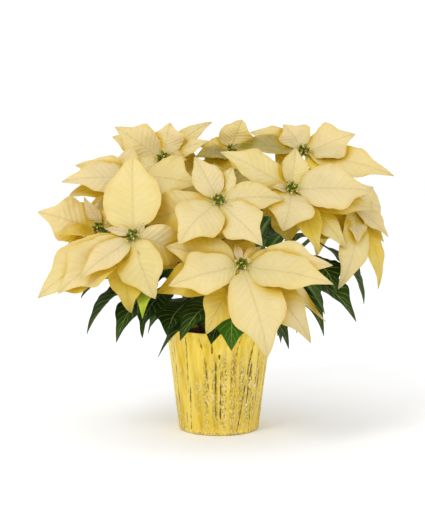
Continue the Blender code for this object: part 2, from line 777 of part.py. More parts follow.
def is_clear(blade, spaced, bare, placed, solids, open_from):
    """Whether the blade crosses nothing. It keeps its distance from other nodes, and may touch
    its own node only before open_from."""
    spaced_trees, low, high = spaced
    own_trees = bare[0]
    for owner, solid in solids:
        own = owner == blade["owner"]
        if (own_trees[max(open_from, 0)] if own else spaced_trees[ROOT]).overlap(solid):
            return False
    for owner, trees, other_low, other_high in placed:
        if any(low[axis] > other_high[axis] or high[axis] < other_low[axis] for axis in range(3)):
            continue
        own = owner == blade["owner"]
        if own and own_trees[open_from].overlap(trees[open_from]):
            return False
        if not own and spaced_trees[ROOT].overlap(trees[ROOT]):
            return False
    return True


def bend_clear(blade, placed, solids):
    """Bends the blade the least that keeps it clear of what is already placed. False if none does."""
    for open_from in OPEN_FROM:
        for pitch, swing, shorter in bends():
            with_bend(blade, pitch, swing, shorter)
            bare = blade_trees(blade)
            if is_clear(blade, blade_trees(blade, BLADE_CLEARANCE), bare, placed, solids, open_from):
                placed.append((blade["owner"], *bare))
                return True
    return False


def head_frame(centre, faces):
    """Turns the up axis to the way a head faces and moves it to the head's place."""
    return Matrix.Translation(centre) @ faces.to_track_quat("Z", "Y").to_matrix().to_4x4()


def make_hub(centre, faces, turn=0):
    bm = bmesh.new()
    bmesh.ops.create_cone(
        bm, cap_ends=True, segments=HUB_SIDES, radius1=HUB_RADIUS * HUB_TAPER, radius2=HUB_RADIUS,
        depth=HUB_HEIGHT, matrix=head_frame(centre, faces) @ Matrix.Rotation(turn, 4, UP),
    )
    return bm


def make_cup(place, out):
    """One green cup: a barrel with a narrow mouth, and its gland, a lip pushed out of one side."""
    bm = bmesh.new()
    belly = CUP_HEIGHT * CUP_BELLY
    bmesh.ops.create_cone(
        bm, cap_ends=True, segments=CUP_SIDES, radius1=CUP_RADIUS * CUP_TAPER,
        radius2=CUP_RADIUS, depth=belly, matrix=Matrix.Translation(UP * belly / 2),
    )
    top = max(bm.faces, key=lambda face: face.calc_center_median().z)
    mouth = bmesh.ops.extrude_discrete_faces(bm, faces=[top])["faces"][0]
    bmesh.ops.translate(bm, verts=mouth.verts, vec=UP * (CUP_HEIGHT - belly))
    bmesh.ops.scale(bm, verts=mouth.verts, vec=(CUP_TAPER, CUP_TAPER, 1))
    upper = [face for face in bm.faces if face is not mouth and face.calc_center_median().z > belly]
    side = max(upper, key=lambda face: face.calc_center_median().dot(out))
    gland = bmesh.ops.extrude_discrete_faces(bm, faces=[side])["faces"][0]
    bmesh.ops.translate(bm, verts=gland.verts, vec=out * GLAND_REACH)
    bmesh.ops.transform(bm, matrix=place, verts=bm.verts)
    return bm


def make_cyathia(name, centre, faces):
    """The cluster of cups on a small plate, which sits on the hub. Returns what it fills."""
    draw = random.Random(SEED)
    frame = head_frame(centre, faces)
    seat = HUB_HEIGHT / 2 + SEAT_GAP
    start = draw.uniform(0, FULL_TURN)
    cups = []
    for number in range(CUP_RING + 1):
        angle = start + FULL_TURN * number / CUP_RING
        out = Vector((math.cos(angle), math.sin(angle), 0))
        ring = CUP_RING_RADIUS if number < CUP_RING else 0
        lean = CUP_LEAN if number < CUP_RING else 0
        lift = seat + PLATE_HEIGHT * draw.uniform(*CUP_LIFT)
        place = (frame @ Matrix.Translation(out * ring + UP * lift)
                 @ Matrix.Rotation(lean, 4, UP.cross(out)))
        cups.append((place, out))

    def plate(turn):
        bm = bmesh.new()
        bmesh.ops.create_cone(
            bm, cap_ends=True, segments=HUB_SIDES, radius1=PLATE_FOOT,
            radius2=PLATE_RADIUS, depth=PLATE_HEIGHT, matrix=frame
            @ Matrix.Translation(UP * (seat + PLATE_HEIGHT / 2)) @ Matrix.Rotation(turn, 4, UP),
        )
        return bm

    fused = fuse("cyathia_" + name, "cups", plate, lambda _: (make_cup(*cup) for cup in cups))
    bm = bmesh.new()
    bm.from_mesh(fused.data)
    tree = tree_of(bm)
    bm.free()
    return tree


def back_bracts(faces):
    """The bracts of a head at the back, longest first, set round its axis at the golden angle."""
    draw = random.Random(SEED)
    frame = faces.to_track_quat("Z", "Y").to_matrix()
    rows = []
    for number in range(BACK_BRACTS):
        share = number / (BACK_BRACTS - 1)
        angle = GOLDEN_ANGLE * number
        reach = BACK_REACH[0] + (BACK_REACH[1] - BACK_REACH[0]) * share
        reach += draw.uniform(-BACK_SPREAD, BACK_SPREAD)
        width = BACK_WIDTH[0] + (BACK_WIDTH[1] - BACK_WIDTH[0]) * share
        droop = BACK_DROOP[0] + (BACK_DROOP[1] - BACK_DROOP[0]) * share
        way = frame @ Vector((math.cos(angle), math.sin(angle), droop)).normalized()
        rows.append((*(way * reach), width, BACK_FORMS[number % len(BACK_FORMS)]))
    return rows


def all_heads():
    """Every head's trunk, place, facing and rows of bracts, in metres."""
    found = {}
    for name, (trunk, centre, faces, rows) in HEADS.items():
        found[name] = (trunk, Vector(centre) * MM, Vector(faces).normalized(), rows)
    for name, (trunk, centre, faces) in BACK_HEADS.items():
        faces = Vector(faces).normalized()
        found[name] = (trunk, Vector(centre) * MM, faces, back_bracts(faces))
    return found


def free_root(wanted, faces, taken):
    """The nearest free place on the hub for a bract that grows a wanted way: its way out and its
    level up the hub."""
    for turn in ROOT_TURNS:
        out = Matrix.Rotation(turn, 3, faces) @ wanted
        for level in HUB_LEVELS:
            if all(level != other_level or out.angle(other_out) > ROOT_SPACING
                   for other_out, other_level in taken):
                taken.append((out, level))
                return out, level
    return wanted, HUB_LEVELS[0]


def bract_blades(heads):
    """Every bract: each head's own, then the lower ones."""
    draw = random.Random(SEED)
    taken = {name: [] for name in heads}
    own = [(name, *row) for name, (_, _, _, rows) in heads.items() for row in rows]
    blades = []
    for name, x, y, z, width, form in own + LOWER_BRACTS:
        _, centre, faces, _ = heads[name]
        offset = Vector((x, y, z)) * MM
        out, level = free_root(upright_part(offset, faces), faces, taken[name])
        root = centre + out * ROOT_RADIUS + faces * level
        blades.append(new_blade("bracts_" + name, root, centre + offset, out, faces,
                                width * MM, form, BRACT_STALK, draw))
    return blades


def nearest_head(heads, tip):
    """The head whose stem is the likeliest to carry a leaf with this tip."""
    weight = Vector((1, 1, HEIGHT_WEIGHT))
    return min(heads, key=lambda name: (heads[name][1] * weight - tip * weight).length)


def leaf_rows(heads, draw):
    """Head, share up its stem, tip and width of the listed leaves and of those round the pot."""
    rows = [(head, up, Vector(tip) * MM, width * MM) for head, up, tip, width in LEAVES]
    for number in range(RIM_LEAVES):
        angle = FULL_TURN * number / RIM_LEAVES
        reach = draw.uniform(*RIM_LEAF_REACH)
        height = RIM_LEAF_HEIGHT + draw.uniform(-LEAF_SPREAD, LEAF_SPREAD)
        tip = Vector((math.cos(angle) * reach, math.sin(angle) * reach, height)) * MM
        rows.append((nearest_head(heads, tip), draw.uniform(*RIM_LEAF_UP), tip, RIM_LEAF_WIDTH * MM))
    for number in range(BACK_LEAVES):
        angle = BACK_LEAF_FROM + BACK_LEAF_SWEEP * number / BACK_LEAVES
        reach = draw.uniform(*BACK_LEAF_REACH)
        height = BACK_LEAF_HEIGHTS[number % len(BACK_LEAF_HEIGHTS)]
        height += draw.uniform(-LEAF_SPREAD, LEAF_SPREAD)
        tip = Vector((math.cos(angle) * reach, math.sin(angle) * reach, height)) * MM
        rows.append((nearest_head(heads, tip), draw.uniform(*BACK_LEAF_UP), tip, BACK_LEAF_WIDTH * MM))
    return rows


def leaf_blades(heads, curves):
    """Every leaf: those round the pot, then one below each head, at the golden angle."""
    draw = random.Random(SEED)
    blades = []
    for head, up, tip, width in leaf_rows(heads, draw):
        root, way = bezier(curves[head], up)
        out = upright_part(tip - root, way)
        face = ((tip - root) * Vector((1, 1, 0))).normalized() + UP * LEAF_TILT
        blades.append(new_blade(plant_name(heads[head][0]), root, tip, out, face.normalized(),
                                width, "leaf", LEAF_STALK, draw))
    turn = 0
    for head, (trunk, _, faces, _) in heads.items():
        frame = faces.to_track_quat("Z", "Y").to_matrix()
        turn += GOLDEN_ANGLE
        root, way = bezier(curves[head], UNDER_LEAF_UP)
        aim = frame @ Vector((math.cos(turn), math.sin(turn), -UNDER_LEAF_DROOP))
        blades.append(new_blade(plant_name(trunk), root, root + aim * UNDER_LEAF_REACH * MM,
                                upright_part(aim, way), faces, UNDER_LEAF_WIDTH * MM, "leaf",
                                LEAF_STALK, draw))
    return blades


def make_trunk(trunk, turn=0):
    x, y = TRUNK_FEET[trunk]
    height = TRUNK_TOP - trunk_foot()
    middle = Vector((x * MM, y * MM, trunk_foot() + height / 2))
    bm = bmesh.new()
    bmesh.ops.create_cone(
        bm, cap_ends=True, segments=TRUNK_SIDES, radius1=TRUNK_RADIUS, radius2=TRUNK_RADIUS,
        depth=height, matrix=Matrix.Translation(middle) @ Matrix.Rotation(turn, 4, UP),
    )
    return bm


def make_stem(curve, faces, turn=0):
    """A tapered bar along the curve, with a last straight piece square on to the hub."""
    shares = [number / (STEM_POINTS - 1) for number in range(STEM_POINTS)]
    radii = [STEM_RADIUS_LOW + (STEM_RADIUS_HIGH - STEM_RADIUS_LOW) * share for share in shares]
    points = [bezier(curve, share)[0] for share in shares]
    return make_tube([*points, curve[-1] + faces * STEM_STRAIGHT], [*radii, STEM_RADIUS_HIGH], turn)


def main():
    clear_scene()
    solids = [("foil_cover", make_cover())]
    make_grow_pot()
    make_soil()
    heads = all_heads()
    curves = {name: stem_curve(number, trunk, centre, faces)
              for number, (name, (trunk, centre, faces, _)) in enumerate(heads.items())}
    for trunk in range(len(TRUNK_FEET)):
        solids.append((plant_name(trunk), tree_of(make_trunk(trunk))))
    for name, (trunk, centre, faces, _) in heads.items():
        solids.append((plant_name(trunk), tree_of(make_stem(curves[name], faces))))
        solids.append(("bracts_" + name, tree_of(make_hub(centre, faces))))
        solids.append(("cyathia_" + name, make_cyathia(name, centre, faces)))
    placed = []
    wanted = bract_blades(heads) + leaf_blades(heads, curves)
    blades = [blade for blade in wanted if bend_clear(blade, placed, solids)]
    print(len(blades), "of", len(wanted), "bracts and leaves found a clear place")
    for name, (_, centre, faces, _) in heads.items():
        fuse("bracts_" + name, "bract", lambda turn: make_hub(centre, faces, turn),
             lambda turn: (blade_mesh(blade, turn * NUDGE) for blade in blades
                           if blade["owner"] == "bracts_" + name))
    for trunk in range(len(TRUNK_FEET)):
        stems = [(curves[name], heads[name][2]) for name in heads if heads[name][0] == trunk]
        leaves = [blade for blade in blades if blade["owner"] == plant_name(trunk)]
        fuse(plant_name(trunk), "green", lambda turn: make_trunk(trunk),
             lambda turn: [make_stem(*stem, turn) for stem in stems]
             + [blade_mesh(blade, turn * NUDGE) for blade in leaves])


main()
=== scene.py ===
# %% [markdown]
# # A poinsettia in its pot
# The plant stands in a grow pot inside a gold foil cover. Its solids come from the frame, and each is
# replaced here by a finer piece that keeps its form: foil, pots and soil first, then the blades, the
# blooms and the light.

# %% Load the frame
import math
import random

import bmesh
import bpy
from mathutils import Matrix, Vector, noise
from mathutils.bvhtree import BVHTree


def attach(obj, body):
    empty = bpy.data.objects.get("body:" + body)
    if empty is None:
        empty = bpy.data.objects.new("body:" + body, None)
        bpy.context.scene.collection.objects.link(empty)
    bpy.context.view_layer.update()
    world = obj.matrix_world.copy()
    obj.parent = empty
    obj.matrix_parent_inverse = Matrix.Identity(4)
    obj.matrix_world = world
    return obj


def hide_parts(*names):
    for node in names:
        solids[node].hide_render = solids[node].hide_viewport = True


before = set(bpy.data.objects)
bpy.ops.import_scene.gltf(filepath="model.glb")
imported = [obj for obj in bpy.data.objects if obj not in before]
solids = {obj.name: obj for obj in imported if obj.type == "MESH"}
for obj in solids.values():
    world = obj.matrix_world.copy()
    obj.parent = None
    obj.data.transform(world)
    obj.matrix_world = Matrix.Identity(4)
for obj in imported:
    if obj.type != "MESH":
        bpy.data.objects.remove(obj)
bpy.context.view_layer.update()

MM = 0.001
FULL_TURN = 2 * math.pi
GOLDEN_ANGLE = math.radians(137.5)
UP = Vector((0, 0, 1))
LEVEL = Vector((1, 1, 0))
WELD = 0.001 * MM
SEAT_GAP = 0.3 * MM
SEED = 12
noise.seed_set(SEED)

# %% [markdown]
# ## Tools for materials
# Every material is a small graph of nodes. Built one call at a time it would fill pages, so these
# helpers add a node, join two sockets or do arithmetic. Patterns are read from a piece's own
# coordinates or its own UV map, so they stay on the surface from every side.

# %% Helpers for materials
MIX_SHARE, MIX_FIRST, MIX_SECOND, MIX_RESULT = 0, 6, 7, 2


def socket_name(words):
    """A socket's name from words joined by underscores."""
    return words.replace("_", " ").title().replace("Ior", "IOR")


class Graph:
    """The nodes of one material, with short ways to add and join them."""

    def __init__(self, name):
        self.material = bpy.data.materials.new(name)
        self.material.use_nodes = True
        self.nodes = self.material.node_tree.nodes
        self.links = self.material.node_tree.links
        self.shader = self.nodes["Principled BSDF"]

    def feed(self, socket, value):
        """Joins a socket to another node's, or sets it to a number, a place or a colour."""
        if isinstance(value, bpy.types.NodeSocket):
            self.links.new(value, socket)
        else:
            socket.default_value = (*value, 1) if socket.type == "RGBA" else value

    def add(self, kind, settings=None, **inputs):
        """A node with settings, whose inputs are named in words joined by underscores."""
        node = self.nodes.new("ShaderNode" + kind)
        for name, value in (settings or {}).items():
            setattr(node, name, value)
        for name, value in inputs.items():
            self.feed(node.inputs[socket_name(name)], value)
        return node

    def math(self, operation, *values):
        node = self.add("Math", {"operation": operation})
        for socket, value in zip(node.inputs, values):
            self.feed(socket, value)
        return node.outputs[0]

    def times(self, first, second, *plus):
        """Two values multiplied, with a third added if it is given."""
        return self.math("MULTIPLY_ADD" if plus else "MULTIPLY", first, second, *plus)

    def from_half(self, value):
        return self.math("ABSOLUTE", self.math("SUBTRACT", value, 0.5))

    def band(self, value, near, far, most=1.0, least=0.0):
        """The most where the value is on the near side, fading smoothly to the least at the far one."""
        return self.add("MapRange", {"interpolation_type": "SMOOTHSTEP"}, value=value, from_min=near,
                        from_max=far, to_min=most, to_max=least).outputs[0]

    def mix(self, share, first, second):
        node = self.add("Mix", {"data_type": "RGBA"})
        self.feed(node.inputs[MIX_SHARE], share)
        self.feed(node.inputs[MIX_FIRST], first)
        self.feed(node.inputs[MIX_SECOND], second)
        return node.outputs[MIX_RESULT]

    def place(self, rise=1.0):
        """The piece's own coordinates. A rise below 1 draws patterns out along Z."""
        own = self.add("TexCoord").outputs["Object"]
        return self.add("Mapping", vector=own, scale=(1.0, 1.0, rise)).outputs[0]

    def noise(self, scale, detail=2.0, rise=1.0):
        return self.add("TexNoise", vector=self.place(rise), scale=scale, detail=detail).outputs[0]

    def attribute(self, name, output="Fac"):
        return self.add("Attribute", {"attribute_name": name}).outputs[output]

    def bump(self, height, depth, strength):
        return self.add("Bump", distance=depth, strength=strength, height=height).outputs[0]

    def finish(self, **inputs):
        for name, value in inputs.items():
            self.feed(self.shader.inputs[socket_name(name)], value)
        print(self.material.name, "has", len(self.nodes), "nodes")
        return self.material


print("a socket's name:", socket_name("specular_ior_level"))

# %% [markdown]
# ## Tools for pieces
# A finished piece is one mesh that rides on a body and stands for some solids, and one function sets
# them all up alike. Round forms are made as on a potter's wheel: a profile is turned once round the
# upright axis.

# %% Helpers for pieces
SHARP_ANGLE = math.radians(50)


def add_object(name, data):
    thing = bpy.data.objects.new(name, data)
    bpy.context.scene.collection.objects.link(thing)
    return thing


def mesh_of(name, bm):
    """A mesh with what a bmesh holds. The bmesh is freed."""
    mesh = bpy.data.meshes.new(name)
    bm.to_mesh(mesh)
    bm.free()
    return mesh


def evaluated_mesh(thing):
    """The mesh that an object shows with its modifiers or its bevel."""
    graph = bpy.context.evaluated_depsgraph_get()
    return bpy.data.meshes.new_from_object(thing.evaluated_get(graph))


def add_piece(name, bm, materials, slot, *replaced):
    """One finished object from a bmesh, riding on the pot's body and standing for its solids."""
    mesh = mesh_of(name, bm)
    for material in materials:
        mesh.materials.append(material)
    mesh.shade_smooth()
    mesh.set_sharp_from_angle(angle=SHARP_ANGLE)
    piece = add_object(name, mesh)
    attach(piece, "root")
    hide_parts(*replaced)
    print(name, len(mesh.polygons), "faces")


def faces_round(verts):
    return list({face for vert in verts for face in vert.link_faces})


def paint(verts, index):
    """Gives the faces round some vertices one of the piece's materials."""
    for face in faces_round(verts):
        face.material_index = index


def add_cone(bm, sides, low, high, depth, matrix):
    """Adds a closed round bar and gives its vertices."""
    return bmesh.ops.create_cone(bm, cap_ends=True, segments=sides, radius1=low, radius2=high,
                                 depth=depth, matrix=matrix)["verts"]


def turned(profile, columns):
    """A closed body turned round Z from a closed profile of (radius, height)."""
    bm = bmesh.new()
    points = [bm.verts.new((radius, 0, height)) for radius, height in profile]
    edges = [bm.edges.new(pair) for pair in zip(points, points[1:])]
    bmesh.ops.spin(bm, geom=points + edges, cent=(0, 0, 0), axis=UP, dvec=(0, 0, 0), angle=FULL_TURN,
                   steps=columns, use_merge=True, use_duplicate=False)
    bmesh.ops.remove_doubles(bm, verts=bm.verts, dist=WELD)
    bmesh.ops.dissolve_degenerate(bm, edges=bm.edges, dist=WELD)
    bmesh.ops.recalc_face_normals(bm, faces=bm.faces)
    return bm


print("edges are drawn sharp from", round(math.degrees(SHARP_ANGLE)), "degrees")

# %% [markdown]
# ## The foil cover's outline
# A grower's cover is a cup pressed from thin gold foil, with a rolled edge at its foot and a flared
# rim. A tapered cylinder would do from afar, but a turned profile has the roll and the flare as well,
# and its many columns can be folded afterwards.

# %% Outline of the foil cover
COVER_BASE_RADIUS = 59.5 * MM
COVER_RIM_RADIUS = 79 * MM
COVER_HEIGHT = 155 * MM
COVER_WALL = 1 * MM
COVER_ROLL = 4 * MM
ROLL_WIDTH = 0.7 * COVER_ROLL
COVER_FLAT_RADIUS = COVER_BASE_RADIUS - ROLL_WIDTH
COVER_COLUMNS = 300
COVER_ROWS = 56
ROLL_ROWS = 5
GATHER_START = 0.86
GATHER_FLARE = 5 * MM


def between(ends, share):
    """The value a share of the way from one end to the other."""
    return ends[0] + (ends[1] - ends[0]) * share


def gathered(share):
    """How far up the gathered rim a share of the height lies, 0 below it."""
    return max(0, (share - GATHER_START) / (1 - GATHER_START))


def cover_radius(height):
    share = height / COVER_HEIGHT
    return between((COVER_BASE_RADIUS, COVER_RIM_RADIUS), share) + gathered(share) * GATHER_FLARE


def cover_profile():
    """The closed outline: along the bottom, up the outside and down the inside."""
    corner = cover_radius(COVER_ROLL)
    turns = [FULL_TURN / 4 * row / ROLL_ROWS for row in range(ROLL_ROWS)]
    roll = [(between((COVER_FLAT_RADIUS, corner), math.sin(turn)), COVER_ROLL * (1 - math.cos(turn)))
            for turn in turns]
    heights = [between((COVER_ROLL, COVER_HEIGHT), row / COVER_ROWS) for row in range(COVER_ROWS + 1)]
    outer = [(cover_radius(height), height) for height in heights]
    inner = [(radius - COVER_WALL, height) for radius, height in reversed(outer)]
    inner[-1] = (corner - COVER_WALL, COVER_ROLL + COVER_WALL / 2)
    return [(0, 0), *roll, *outer, *inner, (COVER_FLAT_RADIUS, COVER_WALL), (0, COVER_WALL)]


print("the outline has", len(cover_profile()), "points")

# %% [markdown]
# ## Creases and pleats
# Pressing leaves broad dents, and narrow pleats where spare foil folds over itself. A bump map would
# only shade them, but they catch light along their whole height, so they pull the wall in. Those that
# show are listed, and the back's follow a rule.

# %% Creases and pleats
CREASES = 13
CREASE_DEPTH = 2.2 * MM
CREASE_WIDTH = math.radians(9)
CREASE_SLANT = math.radians(16)
CREASE_WANDER = 0.3
CREASE_STRENGTH = (0.5, 1)
GATHERS = 12
GATHER_DEPTH = 2.5 * MM
PLEAT_WIDTH = math.radians(1.5)
PLEAT_SLOPE = 3
PLEAT_WANDER = math.radians(0.5)
PLEAT_WAVES = 1.3
FRONT = math.radians(-90)
BACK_PLEATS = 17
BACK_PLEAT_PLACE = (0.1, 0.9)
BACK_PLEAT_LOW = (0, 0.3)
BACK_PLEAT_HIGH = (0.6, 1)

# Pleats that show: degrees round from the front at the bottom, slant in degrees over the whole
# height, and the shares of the height between which the pleat runs
FRONT_PLEATS = (
    (-84, 1, 0.1, 1), (-78, 2, 0.0, 0.7), (-71, 2, 0.05, 1), (-63, 2, 0.2, 0.95),
    (-46, 9, 0.4, 0.95), (-42, 8, 0.03, 0.5), (-50, 3, 0.08, 0.2), (-5, -17, 0.45, 0.95),
    (-8, 0, 0.8, 0.95), (-4, 0, 0.05, 0.75), (3, -3, 0.1, 0.8), (2, 23, 0.5, 1),
    (26, 18, 0.02, 0.95), (36, 8, 0.3, 0.7), (46, 0, 0.02, 0.42), (50, 3, 0.5, 0.85),
    (56, 2, 0.3, 0.62), (70, 4, 0.1, 0.85), (77, 2, 0.0, 0.8), (83, 1, 0.2, 1),
)

draw = random.Random(SEED)
creases = [(FULL_TURN * (number + draw.uniform(-CREASE_WANDER, CREASE_WANDER)) / CREASES,
            draw.uniform(-CREASE_SLANT, CREASE_SLANT), draw.uniform(*CREASE_STRENGTH))
           for number in range(CREASES)]
pleats = [(FRONT + math.radians(turn), math.radians(slant), low, high)
          for turn, slant, low, high in FRONT_PLEATS]
pleats += [(math.pi * (number + draw.uniform(*BACK_PLEAT_PLACE)) / BACK_PLEATS,
            draw.uniform(-CREASE_SLANT, CREASE_SLANT), draw.uniform(*BACK_PLEAT_LOW),
            draw.uniform(*BACK_PLEAT_HIGH))
           for number in range(BACK_PLEATS)]
print(len(creases), "creases and", len(pleats), "pleats")

# %% How far they pull the foil in
def apart(angle, other):
    """The signed turn between two angles."""
    return (angle - other + math.pi) % FULL_TURN - math.pi


def crease_depth(angle, share):
    """How far the broad creases and the gathers at the rim pull the foil in."""
    depth = max(strength * max(0, 1 - abs(apart(angle, place + slant * share)) / CREASE_WIDTH)
                for place, slant, strength in creases)
    return CREASE_DEPTH * depth + GATHER_DEPTH * gathered(share) * (1 + math.cos(GATHERS * angle)) / 2


def pleat_at(angle, share):
    """How deep the nearest pleat is at a place, from 0 to 1. One flank is a step, the other a slope."""
    deepest = 0
    for place, slant, low, high in pleats:
        if low < share < high:
            wander = PLEAT_WANDER * math.sin(FULL_TURN * (PLEAT_WAVES * share + place))
            off = apart(angle, place + slant * share + wander)
            flank = PLEAT_WIDTH if off > 0 else PLEAT_WIDTH * PLEAT_SLOPE
            beyond = max(0, abs(off) - FULL_TURN / COVER_COLUMNS / 2)
            deepest = max(deepest, 1 - beyond / flank)
    return deepest


print("half way up, the front is pulled in by", round(crease_depth(FRONT, 0.5) / MM, 2), "mm")

# %% [markdown]
# ## The folded cup
# Creases, pleats and a fine crinkle pull every point of the cup towards the middle, except at the
# flat bottom. It could be sculpted by hand, but a rule can be changed and run again. Each point keeps
# how deep its pleat is, for the painted shade lines along the pleats.

# %% The folded cup
PLEAT_DEPTH = 0.7 * MM
CRINKLE_DEPTH = 0.45 * MM
CRINKLE_SIZE = 5 * MM
CRINKLE_LEAST = 0.3


def folded_cup():
    bm = turned(cover_profile(), COVER_COLUMNS)
    folded = bm.verts.layers.float.new("folded")
    for vert in bm.verts:
        if vert.co.z < COVER_WALL + WELD:
            continue
        radius = math.hypot(vert.co.x, vert.co.y)
        angle = math.atan2(vert.co.y, vert.co.x)
        share = vert.co.z / COVER_HEIGHT
        rise = min(1, max(0, vert.co.z - COVER_ROLL / 2) / COVER_ROLL)
        vert[folded] = pleat_at(angle, share)
        crinkle = noise.noise(vert.co / CRINKLE_SIZE) * CRINKLE_DEPTH
        pull = rise * (crease_depth(angle, share) + PLEAT_DEPTH * vert[folded])
        pull += crinkle * min(1, rise + CRINKLE_LEAST)
        vert.co.x *= (radius - pull) / radius
        vert.co.y *= (radius - pull) / radius
    return bm


cup = folded_cup()
print("the deepest pleat is at", max(vert[cup.verts.layers.float["folded"]] for vert in cup.verts))

# %% [markdown]
# ## Gold lacquer
# The foil is embossed in upright bands of small cells, sharpest in one broad spot. A photograph of
# foil would bring its own reflections, so cells, streaks and wrinkles are worked out from the piece's
# own coordinates, and one pattern gives both colour and relief. Reflections are painted into the
# colour all the same: broad sheen, bright streaks and silver glints, with painted shade in the
# embossed pits and along the pleats.

# %% Gold lacquer
# An edge says where a pattern starts to fade and where it ends, then its most and its least where
# those aren't 1 and 0. A noise has its scale, its detail and how far it is drawn out along Z.
EMBOSSED_BANDS = 32
EMBOSSED_SPOT = (22 * MM, -62 * MM, 66 * MM)
SPOT_EDGE = (34 * MM, 75 * MM)
FOOT_RELIEF_AND_GLINT_EDGE = (3 * MM, 8 * MM, 0.8)
PATCHES = 16.0
PATCH_EDGE = (0.36, 0.5, 0.6)
STRIPE_EDGE = (0.24, 0.36, 1.0, 0.25)
CELLS = 560.0
CELL_EDGE = (0.16, 0.0)
CELLS_RISE = 0.6
EMBOSSED_RELIEF = (0.85, 0.15)
STREAKS = (230.0, 4.0, 0.05)
STREAK_EDGE = (0.62, 0.4)
PAINTED_STREAK_SHARE = 0.4
STREAK_RELIEF = 0.35
PAINTED_SHEEN_NOISE = (62.0, 2.0, 0.05)
PAINTED_SHEEN_EDGE = (0.6, 0.4)
WRINKLES = (240.0, 5.0, 0.6)
PLEAT_BREAKS = (90.0, 3.0)
PLEAT_BROKEN = 0.9
FOIL_METAL = 0.8
FOIL_ROUGHNESS = (0.3, 0.2)
FOIL_RELIEF = (1 * MM, 0.7)
PAINTED_GLINT_EDGE = (0.16, 0.3)
PAINTED_PIT_SHADE_EDGE = (0.16, 0.28)
PLEAT_SHADE_EDGE = (1.48, 1.26)
# The foil's gold, and the colours painted on it as light: sheen, streaks, glints, and shade in the pits and
# along the pleats.
GOLD_AND_PAINTED_SHEEN = ((0.70, 0.47, 0.025), (0.86, 0.64, 0.09))
PAINTED_STREAK_SHEEN = (0.92, 0.75, 0.20)
PAINTED_GLINT = (0.90, 0.80, 0.46)
PAINTED_PIT_SHADE = (0.46, 0.33, 0.08)
PAINTED_PLEAT_SHADE = (0.19, 0.12, 0.01)


def embossing(graph, place):
    """How strongly the foil is embossed, from 0 to 1: by the spot, patches, bands and the foot."""
    x, y, height = graph.add("SeparateXYZ", vector=place).outputs
    turn = graph.times(graph.math("ARCTAN2", y, x), EMBOSSED_BANDS / FULL_TURN)
    stripe = graph.band(graph.from_half(graph.math("FRACT", turn)), *STRIPE_EDGE)
    spot = graph.add("VectorMath", {"operation": "DISTANCE"})
    graph.feed(spot.inputs[0], place)
    graph.feed(spot.inputs[1], EMBOSSED_SPOT)
    patches = graph.band(graph.noise(PATCHES), *PATCH_EDGE)
    busy = graph.math("MAXIMUM", graph.band(spot.outputs["Value"], *SPOT_EDGE), patches)
    busy = graph.times(busy, stripe)
    # The foot's roll is embossed and also gets the painted glints.
    return graph.math("MAXIMUM", busy, graph.band(height, *FOOT_RELIEF_AND_GLINT_EDGE))


def foil_material():
    graph = Graph("gold foil")
    busy = embossing(graph, graph.place())
    low = graph.place(CELLS_RISE)
    cells = graph.add("TexVoronoi", {"feature": "DISTANCE_TO_EDGE"}, vector=low, scale=CELLS)
    grains = graph.add("TexVoronoi", vector=low, scale=CELLS).outputs["Color"]
    grains = graph.add("SeparateXYZ", vector=grains)
    streaks = graph.band(graph.noise(*STREAKS), *STREAK_EDGE)
    painted_sheen = graph.band(graph.noise(*PAINTED_SHEEN_NOISE), *PAINTED_SHEEN_EDGE)
    wrinkles = graph.noise(*WRINKLES)
    relief = graph.math("ADD", graph.band(cells.outputs["Distance"], *CELL_EDGE), wrinkles)
    relief = graph.times(relief, graph.times(busy, *EMBOSSED_RELIEF))
    relief = graph.times(streaks, STREAK_RELIEF, relief)
    # Broad painted sheen and bright painted streaks stand for reflections in the foil.
    gold = graph.mix(painted_sheen, *GOLD_AND_PAINTED_SHEEN)
    gold = graph.mix(graph.times(streaks, PAINTED_STREAK_SHARE), gold, PAINTED_STREAK_SHEEN)
    # Painted silver glints, and painted shade in the embossed pits.
    for grain, edge, colour in ((0, PAINTED_GLINT_EDGE, PAINTED_GLINT), (1, PAINTED_PIT_SHADE_EDGE, PAINTED_PIT_SHADE)):
        share = graph.times(busy, graph.band(grains.outputs[grain], *edge))
        gold = graph.mix(share, gold, colour)
    # Painted shade along the pleats, broken by noise.
    pleat_shade_mask = graph.times(graph.noise(*PLEAT_BREAKS), PLEAT_BROKEN, graph.attribute("folded"))
    gold = graph.mix(graph.band(pleat_shade_mask, *PLEAT_SHADE_EDGE), gold, PAINTED_PLEAT_SHADE)
    return graph.finish(base_color=gold, metallic=FOIL_METAL, normal=graph.bump(relief, *FOIL_RELIEF),
                        roughness=graph.times(wrinkles, *FOIL_ROUGHNESS))


add_piece("foil_cup", cup, [foil_material()], "foil", "foil_cover")

# %% [markdown]
# ## The grow pot
# The plain moulded pot inside has a thick rolled lip and drain holes. It shows only from above,
# between the leaves, so it is one turned profile. A Boolean cuts the holes, which would be tedious to
# model face by face.

# %% The grow pot
POT_BASE_RADIUS = 50 * MM
POT_RIM_RADIUS = 67 * MM
POT_HEIGHT = 140 * MM
POT_WALL = 1.6 * MM
POT_FLOOR = 2 * MM
POT_LIP = 3 * MM
POT_LIP_HEIGHT = 12 * MM
POT_COLUMNS = 96
POT_FOOT = COVER_WALL + SEAT_GAP
DRAIN_HOLES = 4
DRAIN_RADIUS = 5 * MM
DRAIN_CIRCLE = 32 * MM
HOLE_SIDES = 32
POT_BROWN = ((0.075, 0.042, 0.028), (0.115, 0.068, 0.045))
SCUFFS = (40.0, 4.0)
SCUFF_ROUGHNESS = (0.2, 0.45)
POT_GRAIN = (900.0, 3.0)
POT_RELIEF = (0.1 * MM, 0.4)


def around(turn, out, up):
    """The place at a turn round Z, so far out and so far up."""
    return Vector((math.cos(turn) * out, math.sin(turn) * out, up))


